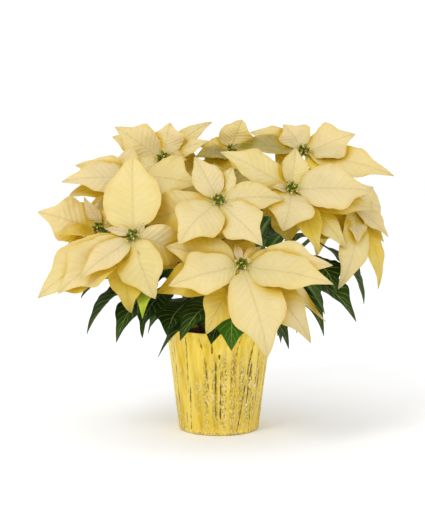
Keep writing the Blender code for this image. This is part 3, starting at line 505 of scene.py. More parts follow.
def bored(bm, places, radius, depth):
    """The body with upright round holes cut through it. Each place is a hole's middle."""
    drill = bmesh.new()
    for place in places:
        add_cone(drill, HOLE_SIDES, radius, radius, depth, Matrix.Translation(place))
    things = [add_object(name, mesh_of(name, shape)) for name, shape in (("body", bm), ("drill", drill))]
    cut = things[0].modifiers.new("holes", "BOOLEAN")
    cut.operation = "DIFFERENCE"
    cut.object = things[1]
    holed = bmesh.new()
    holed.from_mesh(evaluated_mesh(things[0]))
    for thing in things:
        bpy.data.objects.remove(thing, do_unlink=True)
    return holed


def grow_pot():
    top = POT_FOOT + POT_HEIGHT
    under_lip = top - POT_LIP_HEIGHT
    slope = (POT_RIM_RADIUS - POT_BASE_RADIUS) / POT_HEIGHT
    waist = POT_BASE_RADIUS + slope * (under_lip - POT_FOOT)
    round_off = POT_WALL / 2
    bm = turned([
        (0, POT_FOOT), (POT_BASE_RADIUS - round_off, POT_FOOT), (POT_BASE_RADIUS, POT_FOOT + round_off),
        (waist, under_lip), (waist + POT_LIP, under_lip), (POT_RIM_RADIUS + POT_LIP, top - round_off),
        (POT_RIM_RADIUS + POT_LIP - round_off, top), (POT_RIM_RADIUS - POT_WALL + round_off, top),
        (POT_RIM_RADIUS - POT_WALL, top - round_off), (POT_BASE_RADIUS - POT_WALL, POT_FOOT + POT_FLOOR),
        (0, POT_FOOT + POT_FLOOR),
    ], POT_COLUMNS)
    turns = [FULL_TURN * (number + 0.5) / DRAIN_HOLES for number in range(DRAIN_HOLES)]
    middles = [around(turn, DRAIN_CIRCLE, POT_FOOT + POT_FLOOR / 2) for turn in turns]
    return bored(bm, middles, DRAIN_RADIUS, 2 * POT_FLOOR)


def pot_material():
    graph = Graph("moulded plastic")
    scuffs = graph.noise(*SCUFFS)
    return graph.finish(base_color=graph.mix(scuffs, *POT_BROWN),
                        roughness=graph.times(scuffs, *SCUFF_ROUGHNESS),
                        normal=graph.bump(graph.noise(*POT_GRAIN), *POT_RELIEF))


add_piece("pot_inside", grow_pot(), [pot_material()], "pot", "grow_pot")

# %% [markdown]
# ## The potting mix
# Peat with bark and a few white perlite grains, heaped a little and bored where the trunks stand.
# Loose crumbs would be thousands of pieces, so one turned plug has a lumpy top, with small balls sunk
# in it.

# %% The potting mix
SOIL_BELOW_RIM = 10 * MM
SOIL_TOP = POT_FOOT + POT_HEIGHT - SOIL_BELOW_RIM
SOIL_MOUND = 3 * MM
SOIL_RINGS = 26
SOIL_LUMP = 2.2 * MM
SOIL_LUMP_SIZE = 6 * MM
SOIL_CRUMBS = 3
SOIL_CRUMB_SHARE = 0.5
PERLITE_GRAINS = 70
PERLITE_RADIUS = (0.8 * MM, 1.9 * MM)
PERLITE_SPREAD = 0.9
PERLITE_ROUGHNESS = 0.4
TRUNK_RADIUS = 5.5 * MM
TRUNK_BURIED = 50 * MM
TRUNK_FEET = ((-24, -14), (24, -16), (2, 27))
TRUNK_HOLE_RADIUS = TRUNK_RADIUS + 2 * SEAT_GAP
TRUNK_CLEAR = 1.2 * TRUNK_HOLE_RADIUS


def on_trunk(trunk, height):
    """The place at a height in the middle of a trunk."""
    x, y = TRUNK_FEET[trunk]
    return Vector((x * MM, y * MM, height))


def add_grain(bm, place, radius):
    made = bmesh.ops.create_icosphere(bm, subdivisions=1, radius=radius, matrix=Matrix.Translation(place))
    for vert in made["verts"]:
        vert.co += noise.noise_vector(vert.co / MM) * PERLITE_ROUGHNESS * MM
    paint(made["verts"], 1)


def peat_plug():
    """A tapered plug whose top is raised into crumbs, with perlite grains half sunk in it."""
    draw = random.Random(SEED)
    foot = POT_FOOT + POT_FLOOR
    slope = (POT_RIM_RADIUS - POT_BASE_RADIUS) / (POT_HEIGHT - POT_FLOOR)
    inside = POT_BASE_RADIUS - POT_WALL - 2 * SEAT_GAP
    rim = inside + slope * (SOIL_TOP - foot)
    rings = [(rim * (1 - ring / SOIL_RINGS), SOIL_TOP + SOIL_MOUND * ring / SOIL_RINGS)
             for ring in range(SOIL_RINGS + 1)]
    bm = turned([(0, foot + SEAT_GAP), (inside, foot + SEAT_GAP), *rings], POT_COLUMNS)
    for vert in bm.verts:
        if vert.co.z > SOIL_TOP - WELD:
            place = vert.co / SOIL_LUMP_SIZE
            crumb = SOIL_CRUMB_SHARE * noise.noise(place * SOIL_CRUMBS)
            vert.co.z += SOIL_LUMP * (noise.noise(place) + crumb)
    feet = [on_trunk(trunk, SOIL_TOP) for trunk in range(len(TRUNK_FEET))]
    bm = bored(bm, feet, TRUNK_HOLE_RADIUS, 2 * (TRUNK_BURIED + SEAT_GAP))
    for _ in range(PERLITE_GRAINS):
        turn = draw.uniform(0, FULL_TURN)
        out = rim * math.sqrt(draw.uniform(0, PERLITE_SPREAD))
        place = around(turn, out, SOIL_TOP + SOIL_MOUND * (1 - out / rim))
        if all((place.xy - foot.xy).length >= TRUNK_CLEAR for foot in feet):
            add_grain(bm, place, draw.uniform(*PERLITE_RADIUS))
    return bm


peat = peat_plug()
print("the potting mix has", len(peat.verts), "points")

# %% [markdown]
# ## Peat and perlite
# Peat is nearly black and fibrous, with paler crumbs of bark, and perlite is a chalky white. A
# photograph of soil would repeat itself, so cells and noise draw the crumbs and the fibres.

# %% Peat and perlite
PEAT_BROWN = ((0.012, 0.007, 0.004), (0.085, 0.048, 0.026))
BARK_CRUMB = (0.045, 0.03, 0.018)
BARK_CRUMBS = 380.0
BARK_EDGE = (0.0, 0.7)
BARK_RELIEF = -0.6
FIBRES = (260.0, 8.0)
SOIL_RELIEF = (2 * MM, 1.0)
PEAT_DULL = 0.95
PERLITE_WHITE = ((0.55, 0.52, 0.46), (0.8, 0.78, 0.72))
PERLITE_SPECKS = 600.0
DULL = 0.9


def soil_material():
    graph = Graph("peat mix")
    crumbs = graph.add("TexVoronoi", vector=graph.place(), scale=BARK_CRUMBS).outputs["Distance"]
    fibres = graph.noise(*FIBRES)
    colour = graph.mix(graph.band(crumbs, *BARK_EDGE), graph.mix(fibres, *PEAT_BROWN), BARK_CRUMB)
    height = graph.times(crumbs, BARK_RELIEF, fibres)
    return graph.finish(base_color=colour, roughness=PEAT_DULL, normal=graph.bump(height, *SOIL_RELIEF))


def perlite_material():
    graph = Graph("perlite")
    return graph.finish(base_color=graph.mix(graph.noise(PERLITE_SPECKS), *PERLITE_WHITE), roughness=DULL)


add_piece("peat_plug", peat, [soil_material(), perlite_material()], "soil", "potting_mix")

# %% [markdown]
# ## The heads that show
# A flower head is a whorl of coloured leaves, the bracts, on the end of a stem. The photograph gives
# each bract that shows a tip, a width and a form, so they are listed head by head, where one can
# check them. The solids have the same facts, so both lie in one place.

# %% Heads and bracts that show
# Each head: its trunk, the place of its hub and the way it faces. Each bract: its tip's offset from
# the hub to the right, away and up, then its width, all in millimetres, its form, and its colour
# where that isn't cream.
HEADS = {
    "front": (1, (30, -150, 262), (0.1, -0.85, 0.5), (
        (35, -45, -120, 80, "drooping"), (-15, -35, -40, 30, "oval"), (125, -30, -25, 62, "oval"),
        (125, -10, 10, 66, "lobed"), (-100, -25, -27, 68, "lobed"), (-105, 10, 25, 56, "oval"),
        (-120, 5, -35, 60, "oval", "gold"), (97, 0, -108, 52, "drooping"),
        (86, -5, -82, 30, "narrow", "lime"), (-47, 0, -95, 50, "drooping", "gold"),
        (122, 55, -88, 34, "narrow"), (30, 25, 22, 22, "lobed", "blush"),
        (-8, 15, 32, 13, "narrow", "blush"), (-21, -15, -6, 11, "narrow", "blush"),
        (7, -18, -20, 12, "narrow", "blush"), (-26, -8, 7, 11, "narrow", "blush"),
    )),
    "front_left": (0, (-119, -130, 300), (-0.3, -0.85, 0.45), (
        (-3, 45, 109, 84, "heart"), (30, -20, -84, 68, "drooping"), (-72, -40, -54, 42, "oval"),
        (-105, -15, -78, 72, "lobed"), (-140, 15, -86, 76, "lobed"),
        (-14, -5, -110, 54, "drooping", "gold"), (80, 20, -34, 56, "oval"),
        (-36, 5, 25, 17, "narrow", "blush"), (-20, -5, 23, 14, "narrow", "blush"),
        (-48, 20, 39, 20, "oval", "blush"), (18, 0, 21, 12, "narrow", "blush"),
    )),
    "centre": (1, (-1, -110, 347), (0, -0.8, 0.55), (
        (-34, 25, 62, 46, "oval"), (20, 25, 49, 32, "oval"), (92, 15, 2, 46, "oval"),
        (60, -45, -57, 64, "lobed"), (-55, -50, -54, 72, "drooping"), (-112, -5, -43, 64, "lobed"),
        (4, 45, 59, 36, "narrow", "olive"),
    )),
    "right": (1, (102, -70, 361), (0.25, -0.8, 0.5), (
        (-101, 0, 54, 60, "lobed"), (-10, -45, -50, 74, "drooping"), (116, 15, -4, 80, "lobed"),
        (77, 0, 6, 54, "heart"), (7, 30, 58, 42, "oval"), (-14, 10, 38, 22, "narrow"),
        (39, -25, -88, 44, "narrow", "gold"), (120, -5, -35, 48, "oval"),
        (-31, -25, 6, 14, "narrow", "blush"), (-40, -5, -37, 50, "oval", "gold"),
        (-32, 0, -80, 50, "drooping", "gold"), (90, -20, -71, 40, "oval"),
    )),
    "far_left": (0, (-170, -60, 304), (-0.5, -0.75, 0.4), (
        (-90, -10, 22, 68, "lobed"), (-56, -45, -6, 34, "narrow", "gold"),
        (-19, -25, 41, 23, "narrow", "blush"), (17, -10, 34, 20, "narrow", "blush"),
        (-62, 60, 5, 64, "oval"), (-14, 70, 29, 60, "heart"), (-40, 50, -80, 48, "drooping"),
    )),
    "inner_left": (0, (-115, -30, 378), (-0.25, -0.75, 0.55), (
        (-111, -25, -7, 62, "lobed"), (-94, 10, 15, 48, "oval"), (-92, -45, -26, 42, "heart"),
        (83, -40, -9, 76, "lobed"), (-18, -5, 32, 26, "narrow"), (-48, 70, 12, 60, "oval"),
        (40, 60, 5, 52, "oval"),
    )),
    "top_left": (0, (-82, 40, 398), (-0.2, -0.75, 0.6), (
        (-71, -5, 52, 62, "lobed"), (9, 20, 55, 60, "lobed"), (67, 0, 28, 38, "oval"),
        (45, -30, 4, 28, "narrow"), (-24, -40, -5, 30, "narrow"), (-103, -20, -8, 38, "lobed", "gold"),
        (-80, 40, 33, 42, "oval"), (72, 50, 55, 30, "oval"), (-45, 75, -10, 56, "oval"),
        (25, 80, 0, 56, "lobed"),
    )),
    "far_right": (1, (194, -20, 335), (0.5, -0.7, 0.5), (
        (5, -40, -52, 34, "oval"), (-12, -45, -116, 48, "drooping"),
        (39, -20, -127, 40, "drooping", "gold"), (53, -5, -46, 36, "oval"), (47, -25, -50, 27, "oval"),
        (34, 30, 24, 36, "oval"), (50, 70, -10, 54, "oval"), (10, 80, 15, 52, "lobed"),
        (70, 40, -65, 40, "drooping"),
    )),
    "top": (2, (20, 70, 409), (0, -0.75, 0.65), (
        (1, -5, 51, 52, "heart"), (-56, -45, -7, 36, "narrow", "olive"), (56, -30, 4, 36, "oval"),
        (-48, 0, 9, 38, "oval"), (40, 10, 33, 42, "lobed"), (31, 40, 40, 34, "oval"),
        (-30, 80, 0, 54, "oval"), (30, 85, -15, 56, "lobed"),
    )),
    "top_right": (2, (125, 50, 409), (0.2, -0.75, 0.6), (
        (137, -10, -35, 56, "lobed"), (84, 20, 8, 64, "lobed"), (41, 50, 22, 56, "oval"),
        (-21, 30, 37, 60, "lobed"), (-78, 20, 29, 42, "oval"), (-105, -20, 22, 38, "narrow", "olive"),
        (60, 80, -20, 46, "oval"), (-15, 85, -10, 54, "oval"),
    )),
}

print(len(HEADS), "heads show, with", sum(len(rows) for _, _, _, rows in HEADS.values()), "bracts")

# %% [markdown]
# ## The heads at the back, and the lower bracts
# Nobody sees the back in the photograph, so its heads follow the plant's rule: each bract grows a
# golden angle round from the last, shorter and higher. A few shaded bracts close the gaps between the
# front heads, coloured in the gold and olive tones that are painted shade. They are listed, because
# they must fit what is there.

# %% Heads at the back and lower bracts
BACK_HEADS = {
    "back_left": (0, (-140, 105, 335), (-0.6, 0.6, 0.6)),
    "back": (2, (0, 165, 345), (0, 0.75, 0.65)),
    "back_right": (2, (140, 135, 330), (0.5, 0.65, 0.6)),
}
BACK_BRACTS = 8
BACK_REACH = (112, 62)
BACK_WIDTH = (62, 34)
BACK_DROOP = (-0.55, 0.5)
BACK_SPREAD = 6
BACK_FORMS = ("lobed", "oval", "drooping")

# Head, offset of the tip, width, form and colour, as above
LOWER_BRACTS = [
    ("front_left", 62, 15, -45, 58, "oval", "gold"), ("centre", -15, -25, -66, 60, "drooping", "gold"),
    ("centre", 62, 20, -22, 52, "oval", "gold"), ("inner_left", 40, -30, -45, 60, "drooping", "gold"),
    ("top_left", 58, 10, 0, 46, "oval", "olive"), ("top_left", 5, 20, -50, 56, "drooping", "gold"),
    ("top", -35, -30, -38, 52, "drooping", "olive"), ("top", 38, -30, -36, 54, "drooping", "gold"),
    ("top_right", 66, -20, -34, 60, "lobed", "gold"),
    ("top_right", -40, -10, -34, 50, "drooping", "gold"),
    ("far_right", -45, 10, -50, 48, "oval", "gold"), ("front", -8, 58, 38, 52, "oval", "gold"),
    ("front_left", -42, 50, 10, 54, "oval", "gold"),
]


def facing(way):
    """The turn that brings the up axis to a way."""
    return way.to_track_quat("Z", "Y").to_matrix()


def back_bracts(faces):
    """The bracts of a head at the back, longest first."""
    draw = random.Random(SEED)
    rows = []
    for number in range(BACK_BRACTS):
        share = number / (BACK_BRACTS - 1)
        reach = between(BACK_REACH, share) + draw.uniform(-BACK_SPREAD, BACK_SPREAD)
        way = facing(faces) @ around(GOLDEN_ANGLE * number, 1, between(BACK_DROOP, share)).normalized()
        rows.append((*(way * reach), between(BACK_WIDTH, share), BACK_FORMS[number % len(BACK_FORMS)]))
    return rows


heads = {}
for name, (trunk, centre, faces, *rows) in (HEADS | BACK_HEADS).items():
    faces = Vector(faces).normalized()
    heads[name] = (trunk, Vector(centre) * MM, faces, *(rows or [back_bracts(faces)]))
bract_rows = [(name, *row) for name, (_, _, _, rows) in heads.items() for row in rows] + LOWER_BRACTS
print(len(heads), "heads with", len(bract_rows), "bracts")

# %% [markdown]
# ## The leaves
# Dark green leaves hang over the pot's rim all round and fill the space under the heads. Those that
# show are listed. The others go round in rows, each on the nearest head's stem, with a seeded spread
# that looks grown and still comes out the same on every run.

# %% Leaves
# Leaves that show: the head whose stem carries them, how far up that stem, their tip and width, and
# their colour where it isn't dark green
LEAVES = (
    ("front_left", 0.62, (-187, -110, 160), 50), ("front_left", 0.55, (-155, -130, 166), 46),
    ("far_left", 0.6, (-197, -90, 208), 46), ("front_left", 0.45, (-111, -105, 164), 46),
    ("front_left", 0.72, (-107, -138, 186), 30, "lime"), ("front", 0.4, (-87, -105, 125), 50),
    ("front", 0.5, (-55, -112, 133), 54), ("front", 0.6, (17, -120, 138), 50, "mid green"),
    ("front", 0.55, (98, -112, 139), 50), ("right", 0.35, (122, -90, 152), 40),
    ("right", 0.45, (150, -80, 152), 46), ("far_right", 0.5, (197, -70, 171), 44),
    ("far_right", 0.6, (173, -40, 200), 44), ("far_right", 0.7, (213, -20, 189), 44),
    ("right", 0.7, (193, -60, 269), 30), ("right", 0.8, (83, -30, 393), 30),
    ("right", 0.75, (112, -70, 312), 50), ("centre", 0.6, (-75, -95, 240), 52),
    ("centre", 0.75, (60, -90, 300), 48, "gold"), ("top", 0.75, (-30, 20, 405), 44),
    ("inner_left", 0.7, (-175, -20, 320), 50), ("right", 0.62, (104, -62, 284), 56),
    ("centre", 0.68, (76, -70, 290), 50),
)

# Rows of leaves: how many, where the row starts, how far round it goes, their reach, their heights,
# how far up the stem and how wide
LEAF_RINGS = (
    (11, 0, FULL_TURN, (104, 122), (140,), (0.25, 0.45), 58),
    (8, math.radians(-25), math.radians(230), (150, 200), (150, 217.5, 285), (0.4, 0.75), 56),
)
LEAF_SPREAD = 12
HEIGHT_WEIGHT = 0.4


def nearest_head(tip):
    """The head whose stem is the likeliest to carry a leaf with this tip."""
    weight = Vector((1, 1, HEIGHT_WEIGHT))
    return min(heads, key=lambda name: (heads[name][1] * weight - tip * weight).length)


leaf_draw = random.Random(SEED)
leaf_rows = [(head, up, Vector(tip) * MM, width * MM, *(tone or ["green"]))
             for head, up, tip, width, *tone in LEAVES]
for count, start, sweep, reach, heights, up, width in LEAF_RINGS:
    for number in range(count):
        out = leaf_draw.uniform(*reach)
        height = heights[number % len(heights)] + leaf_draw.uniform(-LEAF_SPREAD, LEAF_SPREAD)
        tip = around(start + sweep * number / count, out, height) * MM
        leaf_rows.append((nearest_head(tip), leaf_draw.uniform(*up), tip, width * MM, "green"))
print(len(leaf_rows), "leaves besides the one below each head")

# %% [markdown]
# ## The stems
# Each trunk forks low down, and its stems curve out and up to the heads. A straight bar would meet a
# head at a wrong angle, so a stem is a cubic curve that leaves the trunk upright and arrives the way
# the head faces.

# %% Stems
TRUNK_TOP = 158 * MM
STEM_SINK = 5 * MM
STEM_STAGGER = 1.1 * MM
STEM_RISE = 70 * MM
STEM_LEAN = 0.12
STEM_APPROACH = 0.35
STEM_STRAIGHT = 6 * MM
HUB_HEIGHT = 8 * MM


def bezier(points, share):
    """Point and direction at a share of a cubic curve."""
    a, b, c, d = points
    rest = 1 - share
    point = a * rest**3 + b * 3 * rest**2 * share + c * 3 * rest * share**2 + d * share**3
    way = (b - a) * rest**2 + (c - b) * 2 * rest * share + (d - c) * share**2
    return point, way.normalized()


def stem_curve(number, trunk, centre, faces, _):
    """From inside the trunk's top, out and up, to below the hub. Each starts at its own height."""
    start = on_trunk(trunk, TRUNK_TOP - STEM_SINK - STEM_STAGGER * number)
    end = centre - faces * (HUB_HEIGHT / 2 + SEAT_GAP + STEM_STRAIGHT)
    reach = (end - start).length
    outward = (end - start) * LEVEL
    start += outward.normalized() * STEM_STAGGER
    return start, start + UP * STEM_RISE + outward * STEM_LEAN, end - faces * reach * STEM_APPROACH, end


curves = {name: stem_curve(number, *head) for number, (name, head) in enumerate(heads.items())}
print(len(curves), "stems")

# %% [markdown]
# ## The outline of a blade
# Bracts and leaves are both blades: a narrow stalk, a body that widens and narrows again, and often
# two side lobes. Drawn by hand they would be 187 outlines, so one formula with a few numbers a form
# gives them all.

# %% Outline of a blade
# Form of a blade: where it is widest, how fast it narrows, size of its side lobes, arch along its
# length and fold along its midrib
FORMS = {
    "oval": (0.75, 1.05, 0, 0.08, 0.16),
    "heart": (0.5, 0.8, 0, 0.05, 0.12),
    "lobed": (0.75, 1.05, 0.28, 0.08, 0.16),
    "drooping": (0.7, 0.95, 0.12, 0.16, 0.12),
    "narrow": (0.85, 1.1, 0, 0.05, 0.3),
    "leaf": (0.7, 1.0, 0.16, 0.12, 0.22),
}
STALK_WIDTH = 2 * MM
STALK_SHARE = 0.12
TIP_WIDTH = 0.9 * MM
LOBE_FROM = 0.2
LOBE_AT = 0.6
LOBE_TO = 0.8
LOBE_GAIN = 1.4


def half_width(blade, share):
    """Half the blade's width at a share of its length past the stalk."""
    widest, narrowing, lobe, _, _ = FORMS[blade["form"]]
    stalk_half = min(STALK_WIDTH, blade["width"] * STALK_SHARE) / 2
    if share <= 0:
        return stalk_half
    top = widest / (widest + narrowing)
    peak = top**widest * (1 - top) ** narrowing
    body = share**widest * (1 - share) ** narrowing / peak
    corner = 1 - abs(share - LOBE_AT) / (LOBE_AT - LOBE_FROM if share < LOBE_AT else LOBE_TO - LOBE_AT)
    body = max(body * (1 - lobe / 2), min(1, body) * (1 - lobe) + lobe * max(0, corner) * LOBE_GAIN)
    return max(TIP_WIDTH / 2 + (stalk_half - TIP_WIDTH / 2) * (1 - share), blade["width"] / 2 * body)


for form in FORMS:
    print(form, [round(2 * half_width({"form": form, "width": 1}, share), 2) for share in (0.25, 0.5, 0.75)])

# %% [markdown]
# ## The path of a blade
# A blade leaves its root straight out and arches over to its tip, and the more it hangs, the more its
# face turns outwards. Bones and a pose could bend it, but a curve worked out from root and tip needs
# no hand work and fits every blade.

# %% Path of a blade
DROOP_TURN = 1.5
PATH_NEAR = (0.28, 0.4)
PATH_FAR = (0.62, 1.6)
RIPPLE_SKEW = 0.3
SEEDED = {
    "arch": (-0.02, 0.04), "fold": (-0.08, 0.14), "twist": (-0.35, 0.35), "waves": (1.2, 2.2),
    "phase": (0, 1), "ripple": (0.04, 0.13),
}


def new_blade(draw, form, **facts):
    """A blade's facts, with a little of its arch, fold, twist and ripple drawn from the seeded rule."""
    blade = {name: draw.uniform(*limits) for name, limits in SEEDED.items()}
    _, _, _, arch, fold = FORMS[form]
    blade["arch"] += arch
    blade["fold"] += fold
    return blade | {"form": form} | facts


def upright_part(vector, axis):
    """The part of a vector that stands square to an axis, as a direction."""
    square = vector - axis * vector.dot(axis)
    return square.normalized()


def face_at(blade, way):
    """Which way the blade's upper face looks where the blade runs a given way."""
    droop = -way.dot(blade["face"])
    return upright_part(blade["face"] + blade["out"] * DROOP_TURN * droop, way)


def rise_at(blade, share, across):
    """How steeply the blade rises from its midrib to its edge: its fold and its ripple."""
    wave = FULL_TURN * (blade["waves"] * share + blade["phase"] + RIPPLE_SKEW * across)
    return math.sin(blade["fold"]) + blade["ripple"] * math.sin(wave)


def blade_path(blade, tip):
    """Straight out of the root, then over an arch to the tip."""
    root = blade["root"]
    reach = (tip - root).length
    chord = (tip - root).normalized()
    rise = face_at(blade, chord) * reach * blade["arch"]
    near = root + blade["out"] * reach * PATH_NEAR[0] + rise * PATH_NEAR[1]
    far = root + chord * reach * PATH_FAR[0] + rise * PATH_FAR[1]
    return root, near, far, tip


print(len(SEEDED), "values of each blade are drawn, and its form is one of", len(FORMS))

# %% [markdown]
# ## Listing the bracts
# Bracts grow from a short knob, the hub, which can't hold two stalks in one place. Each row of facts
# becomes a blade, and its root takes the nearest spot that is still free, at one of four levels, as
# the solids' roots do.

# %% Listing the bracts
HUB_LEVELS = (2.1 * MM, 0.6 * MM, -0.9 * MM, -2.4 * MM)
ROOT_RADIUS = 2.7 * MM
ROOT_SPACING = math.radians(48)
ROOT_TURNS = (0, 12, -12, 24, -24, 36, -36, 48, -48, 60, -60)
BRACT_STALK = 0.09


def free_root(wanted, faces, taken):
    """The nearest free place on the hub: its way out and its level."""
    for turn in ROOT_TURNS:
        out = Matrix.Rotation(math.radians(turn), 3, faces) @ wanted
        for level in HUB_LEVELS:
            if all(level != other_level or out.angle(other_out) > ROOT_SPACING
                   for other_out, other_level in taken):
                taken.append((out, level))
                return out, level
    return wanted, HUB_LEVELS[0]


draw = random.Random(SEED)
taken = {name: [] for name in heads}
wanted = []
for name, x, y, z, width, form, *tone in bract_rows:
    _, centre, faces, _ = heads[name]
    offset = Vector((x, y, z)) * MM
    out, level = free_root(upright_part(offset, faces), faces, taken[name])
    root = centre + out * ROOT_RADIUS + faces * level
    wanted.append(new_blade(draw, form, owner="bracts_" + name, root=root, tip=centre + offset, out=out,
                            face=faces, width=width * MM, stalk=BRACT_STALK, tone=(tone or ["cream"])[0]))
print(len(wanted), "bracts listed")

# %% [markdown]
# ## Listing the leaves
# A leaf's root is a place on its stem's curve, and its face looks outwards and up. Below each head
# hangs one more leaf, a golden angle round from the one below the head before, which is how leaves
# follow each other on a stem.

# %% Listing the leaves
LEAF_STALK = 0.24
LEAF_TILT = 1.2
UNDER_LEAF_REACH = 84 * MM
UNDER_LEAF_DROOP = 0.4
UNDER_LEAF_UP = 0.8
UNDER_LEAF_WIDTH = 52 * MM


def plant_name(trunk):
    return f"plant_{trunk + 1}"


def add_leaf(head, up, reach, face, width, tone):
    """Lists a leaf that grows from a share of the way up a head's stem. Its reach is from root to tip."""
    root, way = bezier(curves[head], up)
    out = upright_part(reach, way)
    wanted.append(new_blade(leaf_draw, "leaf", owner=plant_name(heads[head][0]), root=root, tip=root + reach,
                            out=out, face=face, width=width, stalk=LEAF_STALK, tone=tone))


for head, up, tip, width, tone in leaf_rows:
    reach = tip - bezier(curves[head], up)[0]
    add_leaf(head, up, reach, ((reach * LEVEL).normalized() + UP * LEAF_TILT).normalized(), width, tone)
for number, (head, (_, _, faces, _)) in enumerate(heads.items(), 1):
    aim = facing(faces) @ around(GOLDEN_ANGLE * number, 1, -UNDER_LEAF_DROOP)
    add_leaf(head, UNDER_LEAF_UP, aim * UNDER_LEAF_REACH, faces, UNDER_LEAF_WIDTH, "mid green")
print(len(wanted), "blades listed in all")

# %% [markdown]
# ## Finding each blade's bend
# In the solids, a blade that would have crossed another was bent aside by a few degrees. Here each
# blade tries the same bends in the same order, and keeps the first one whose coarse corners all lie
# on its solid's surface. So both lie in one place.

# %% Blades that lie on the solids
BEND_STEP = math.radians(3)
BEND_STEPS = 14
SHORTENINGS = (1, 0.85, 0.7)
BEND_WAYS = ((1, 0), (-1, 0), (0, 1), (0, -1), (1, 1), (-1, 1), (1, -1), (-1, -1))
SOLID_THICKNESS = 0.8 * MM
SMALL_BRACT = 26 * MM
SMALL_STATIONS = (0.4, 1)
STATIONS = (0.3, LOBE_AT, 1)
FIT = 0.35 * MM


def bends():
    """Pitch, swing and shortening to try, the least first."""
    yield 0, 0, 1
    for shorter in SHORTENINGS:
        for step in range(1, BEND_STEPS + 1):
            for pitch, swing in BEND_WAYS:
                yield BEND_STEP * step * pitch, BEND_STEP * step * swing, shorter


def surface_of(node):
    """A solid's surface, for asking how far a point lies from it."""
    places = [vert.co for vert in node.data.vertices]
    return BVHTree.FromPolygons(places, [face.vertices for face in node.data.polygons])


def coarse_corners(blade):
    """Points that the solid blade has at its stations: both edges and the midrib of its upper face."""
    small = blade["stalk"] == BRACT_STALK and blade["width"] < SMALL_BRACT
    for share in (SMALL_STATIONS if small else STATIONS):
        centre, way = bezier(blade["path"], between((blade["stalk"], 1), share))
        face = Matrix.Rotation(blade["twist"] * share, 3, way) @ face_at(blade, way)
        side = way.cross(face)
        half = half_width(blade, share)
        for across in (0, -1, 1):
            lift = abs(across) * half * rise_at(blade, share, across)
            yield (centre + side * (across * half * math.cos(blade["fold"]))
                   + face * (lift + SOLID_THICKNESS / 2))


def find_bend(blade):
    """Gives the blade the bend that its solid has. False if the solid doesn't have this blade."""
    chord = blade["tip"] - blade["root"]
    rise = face_at(blade, chord.normalized())
    side = chord.normalized().cross(rise)
    for pitch, swing, shorter in bends():
        turn = Matrix.Rotation(swing, 3, rise) @ Matrix.Rotation(pitch, 3, side)
        blade["path"] = blade_path(blade, blade["root"] + turn @ chord * shorter)
        if all(surfaces[blade["owner"]].find_nearest(corner)[3] < FIT for corner in coarse_corners(blade)):
            return True
    return False


surfaces = {name: surface_of(node) for name, node in solids.items()}
blades = [blade for blade in wanted if find_bend(blade)]
print(len(blades), "of", len(wanted), "blades found on the solids")

# %% [markdown]
# ## One blade
# A bract is a thin blade folded a little along its midrib, with a waved edge and a drawn-out tip. A
# cloth simulation could wave it, but it would leave the solid's place. So each starts as a flat grid
# and is bent along its own curve, point by point.

# %% Bending a flat grid into a blade
THIN = 0.45 * MM
STALK_THICKNESS = 1.5 * MM
FRILL = 0.035
FRILL_WAVES = (4.5, 7.5)
EDGE_CURL = 0.05
FOLD_SOFTNESS = 1.12
PUCKER = 0.075
PUCKER_SIZE = (1.7, 4.5)
PUCKER_APART = 100
TIP_FROM = 0.66
TIP_DRAWN = 0.2
LEAF_FULLNESS = 0.22
BASE_FILL = 0.08
BASE_END = 0.22


def fine_width(blade, share, along):
    """Half the finer blade's width: fuller in a leaf, drawn out at the tip and filled at the base."""
    near_tip = max(0, share - TIP_FROM) / (1 - TIP_FROM)
    base = blade["width"] * BASE_FILL * max(0, 1 - share / BASE_END) * min(1, along / blade["stalk"])
    fuller = LEAF_FULLNESS * math.sin(math.pi * share) if blade["form"] == "leaf" else 0
    return half_width(blade, share) * (1 + fuller - TIP_DRAWN * math.sin(math.pi * near_tip)) + base


def waves_at(blade, share, across):
    """The frill and curl of the edge and the puckers of the face, as a share of the width."""
    near_tip = max(0, share - TIP_FROM) / (1 - TIP_FROM)
    spot = Vector((across * PUCKER_SIZE[0], share * PUCKER_SIZE[1], blade["phase"] * PUCKER_APART))
    pucker = PUCKER * noise.noise(spot) * (1 - near_tip)
    turn = FULL_TURN * (blade["frills"] * share + blade["phase"] + across)
    frill = FRILL * abs(across) ** 3 * math.sin(turn)
    return (frill + pucker - EDGE_CURL * across**4) * share * (1 - share) * 4


def fine_place(blade, flat):
    """The place on the blade of a point of the flat grid, and the way its upper face looks there."""
    stalk = blade["stalk"]
    share = max(flat.y, 0)
    along = stalk * (1 + flat.y) if flat.y < 0 else between((stalk, 1), share)
    centre, way = bezier(blade["path"], along)
    face = Matrix.Rotation(blade["twist"] * share, 3, way) @ face_at(blade, way)
    half = fine_width(blade, share, along)
    fold = abs(flat.x) ** FOLD_SOFTNESS * rise_at(blade, share, flat.x)
    lift = half * (fold + waves_at(blade, share, flat.x)) + blade["shift"] * math.sin(math.pi * share)
    thick = between((THIN, STALK_THICKNESS), max(0, 1 - along / stalk))
    side = way.cross(face) * (flat.x * half * math.cos(blade["fold"]))
    return centre + side + face * (lift + flat.z * thick / 2), face


draw = random.Random(SEED)
for blade in blades:
    blade["frills"] = draw.uniform(*FRILL_WAVES)
    blade["shift"] = 0
print("the first blade's tip is at", fine_place(blades[0], Vector((0, 1, 0)))[0])

# %% [markdown]
# ## Easing crossed blades apart
# Waves that the solids don't have can push a blade through its neighbour. A blade that crosses
# another past its base moves its middle up or down by the least that frees it. A collision simulation
# could do this too, but not the same way twice.

# %% Easing crossed blades apart
SHEET_ACROSS = 4
SHEET_ALONG = 8
OPEN_FROM = 0.3
EASINGS = (0, 1, -1, 2, -2, 3, -3, 4, -4)


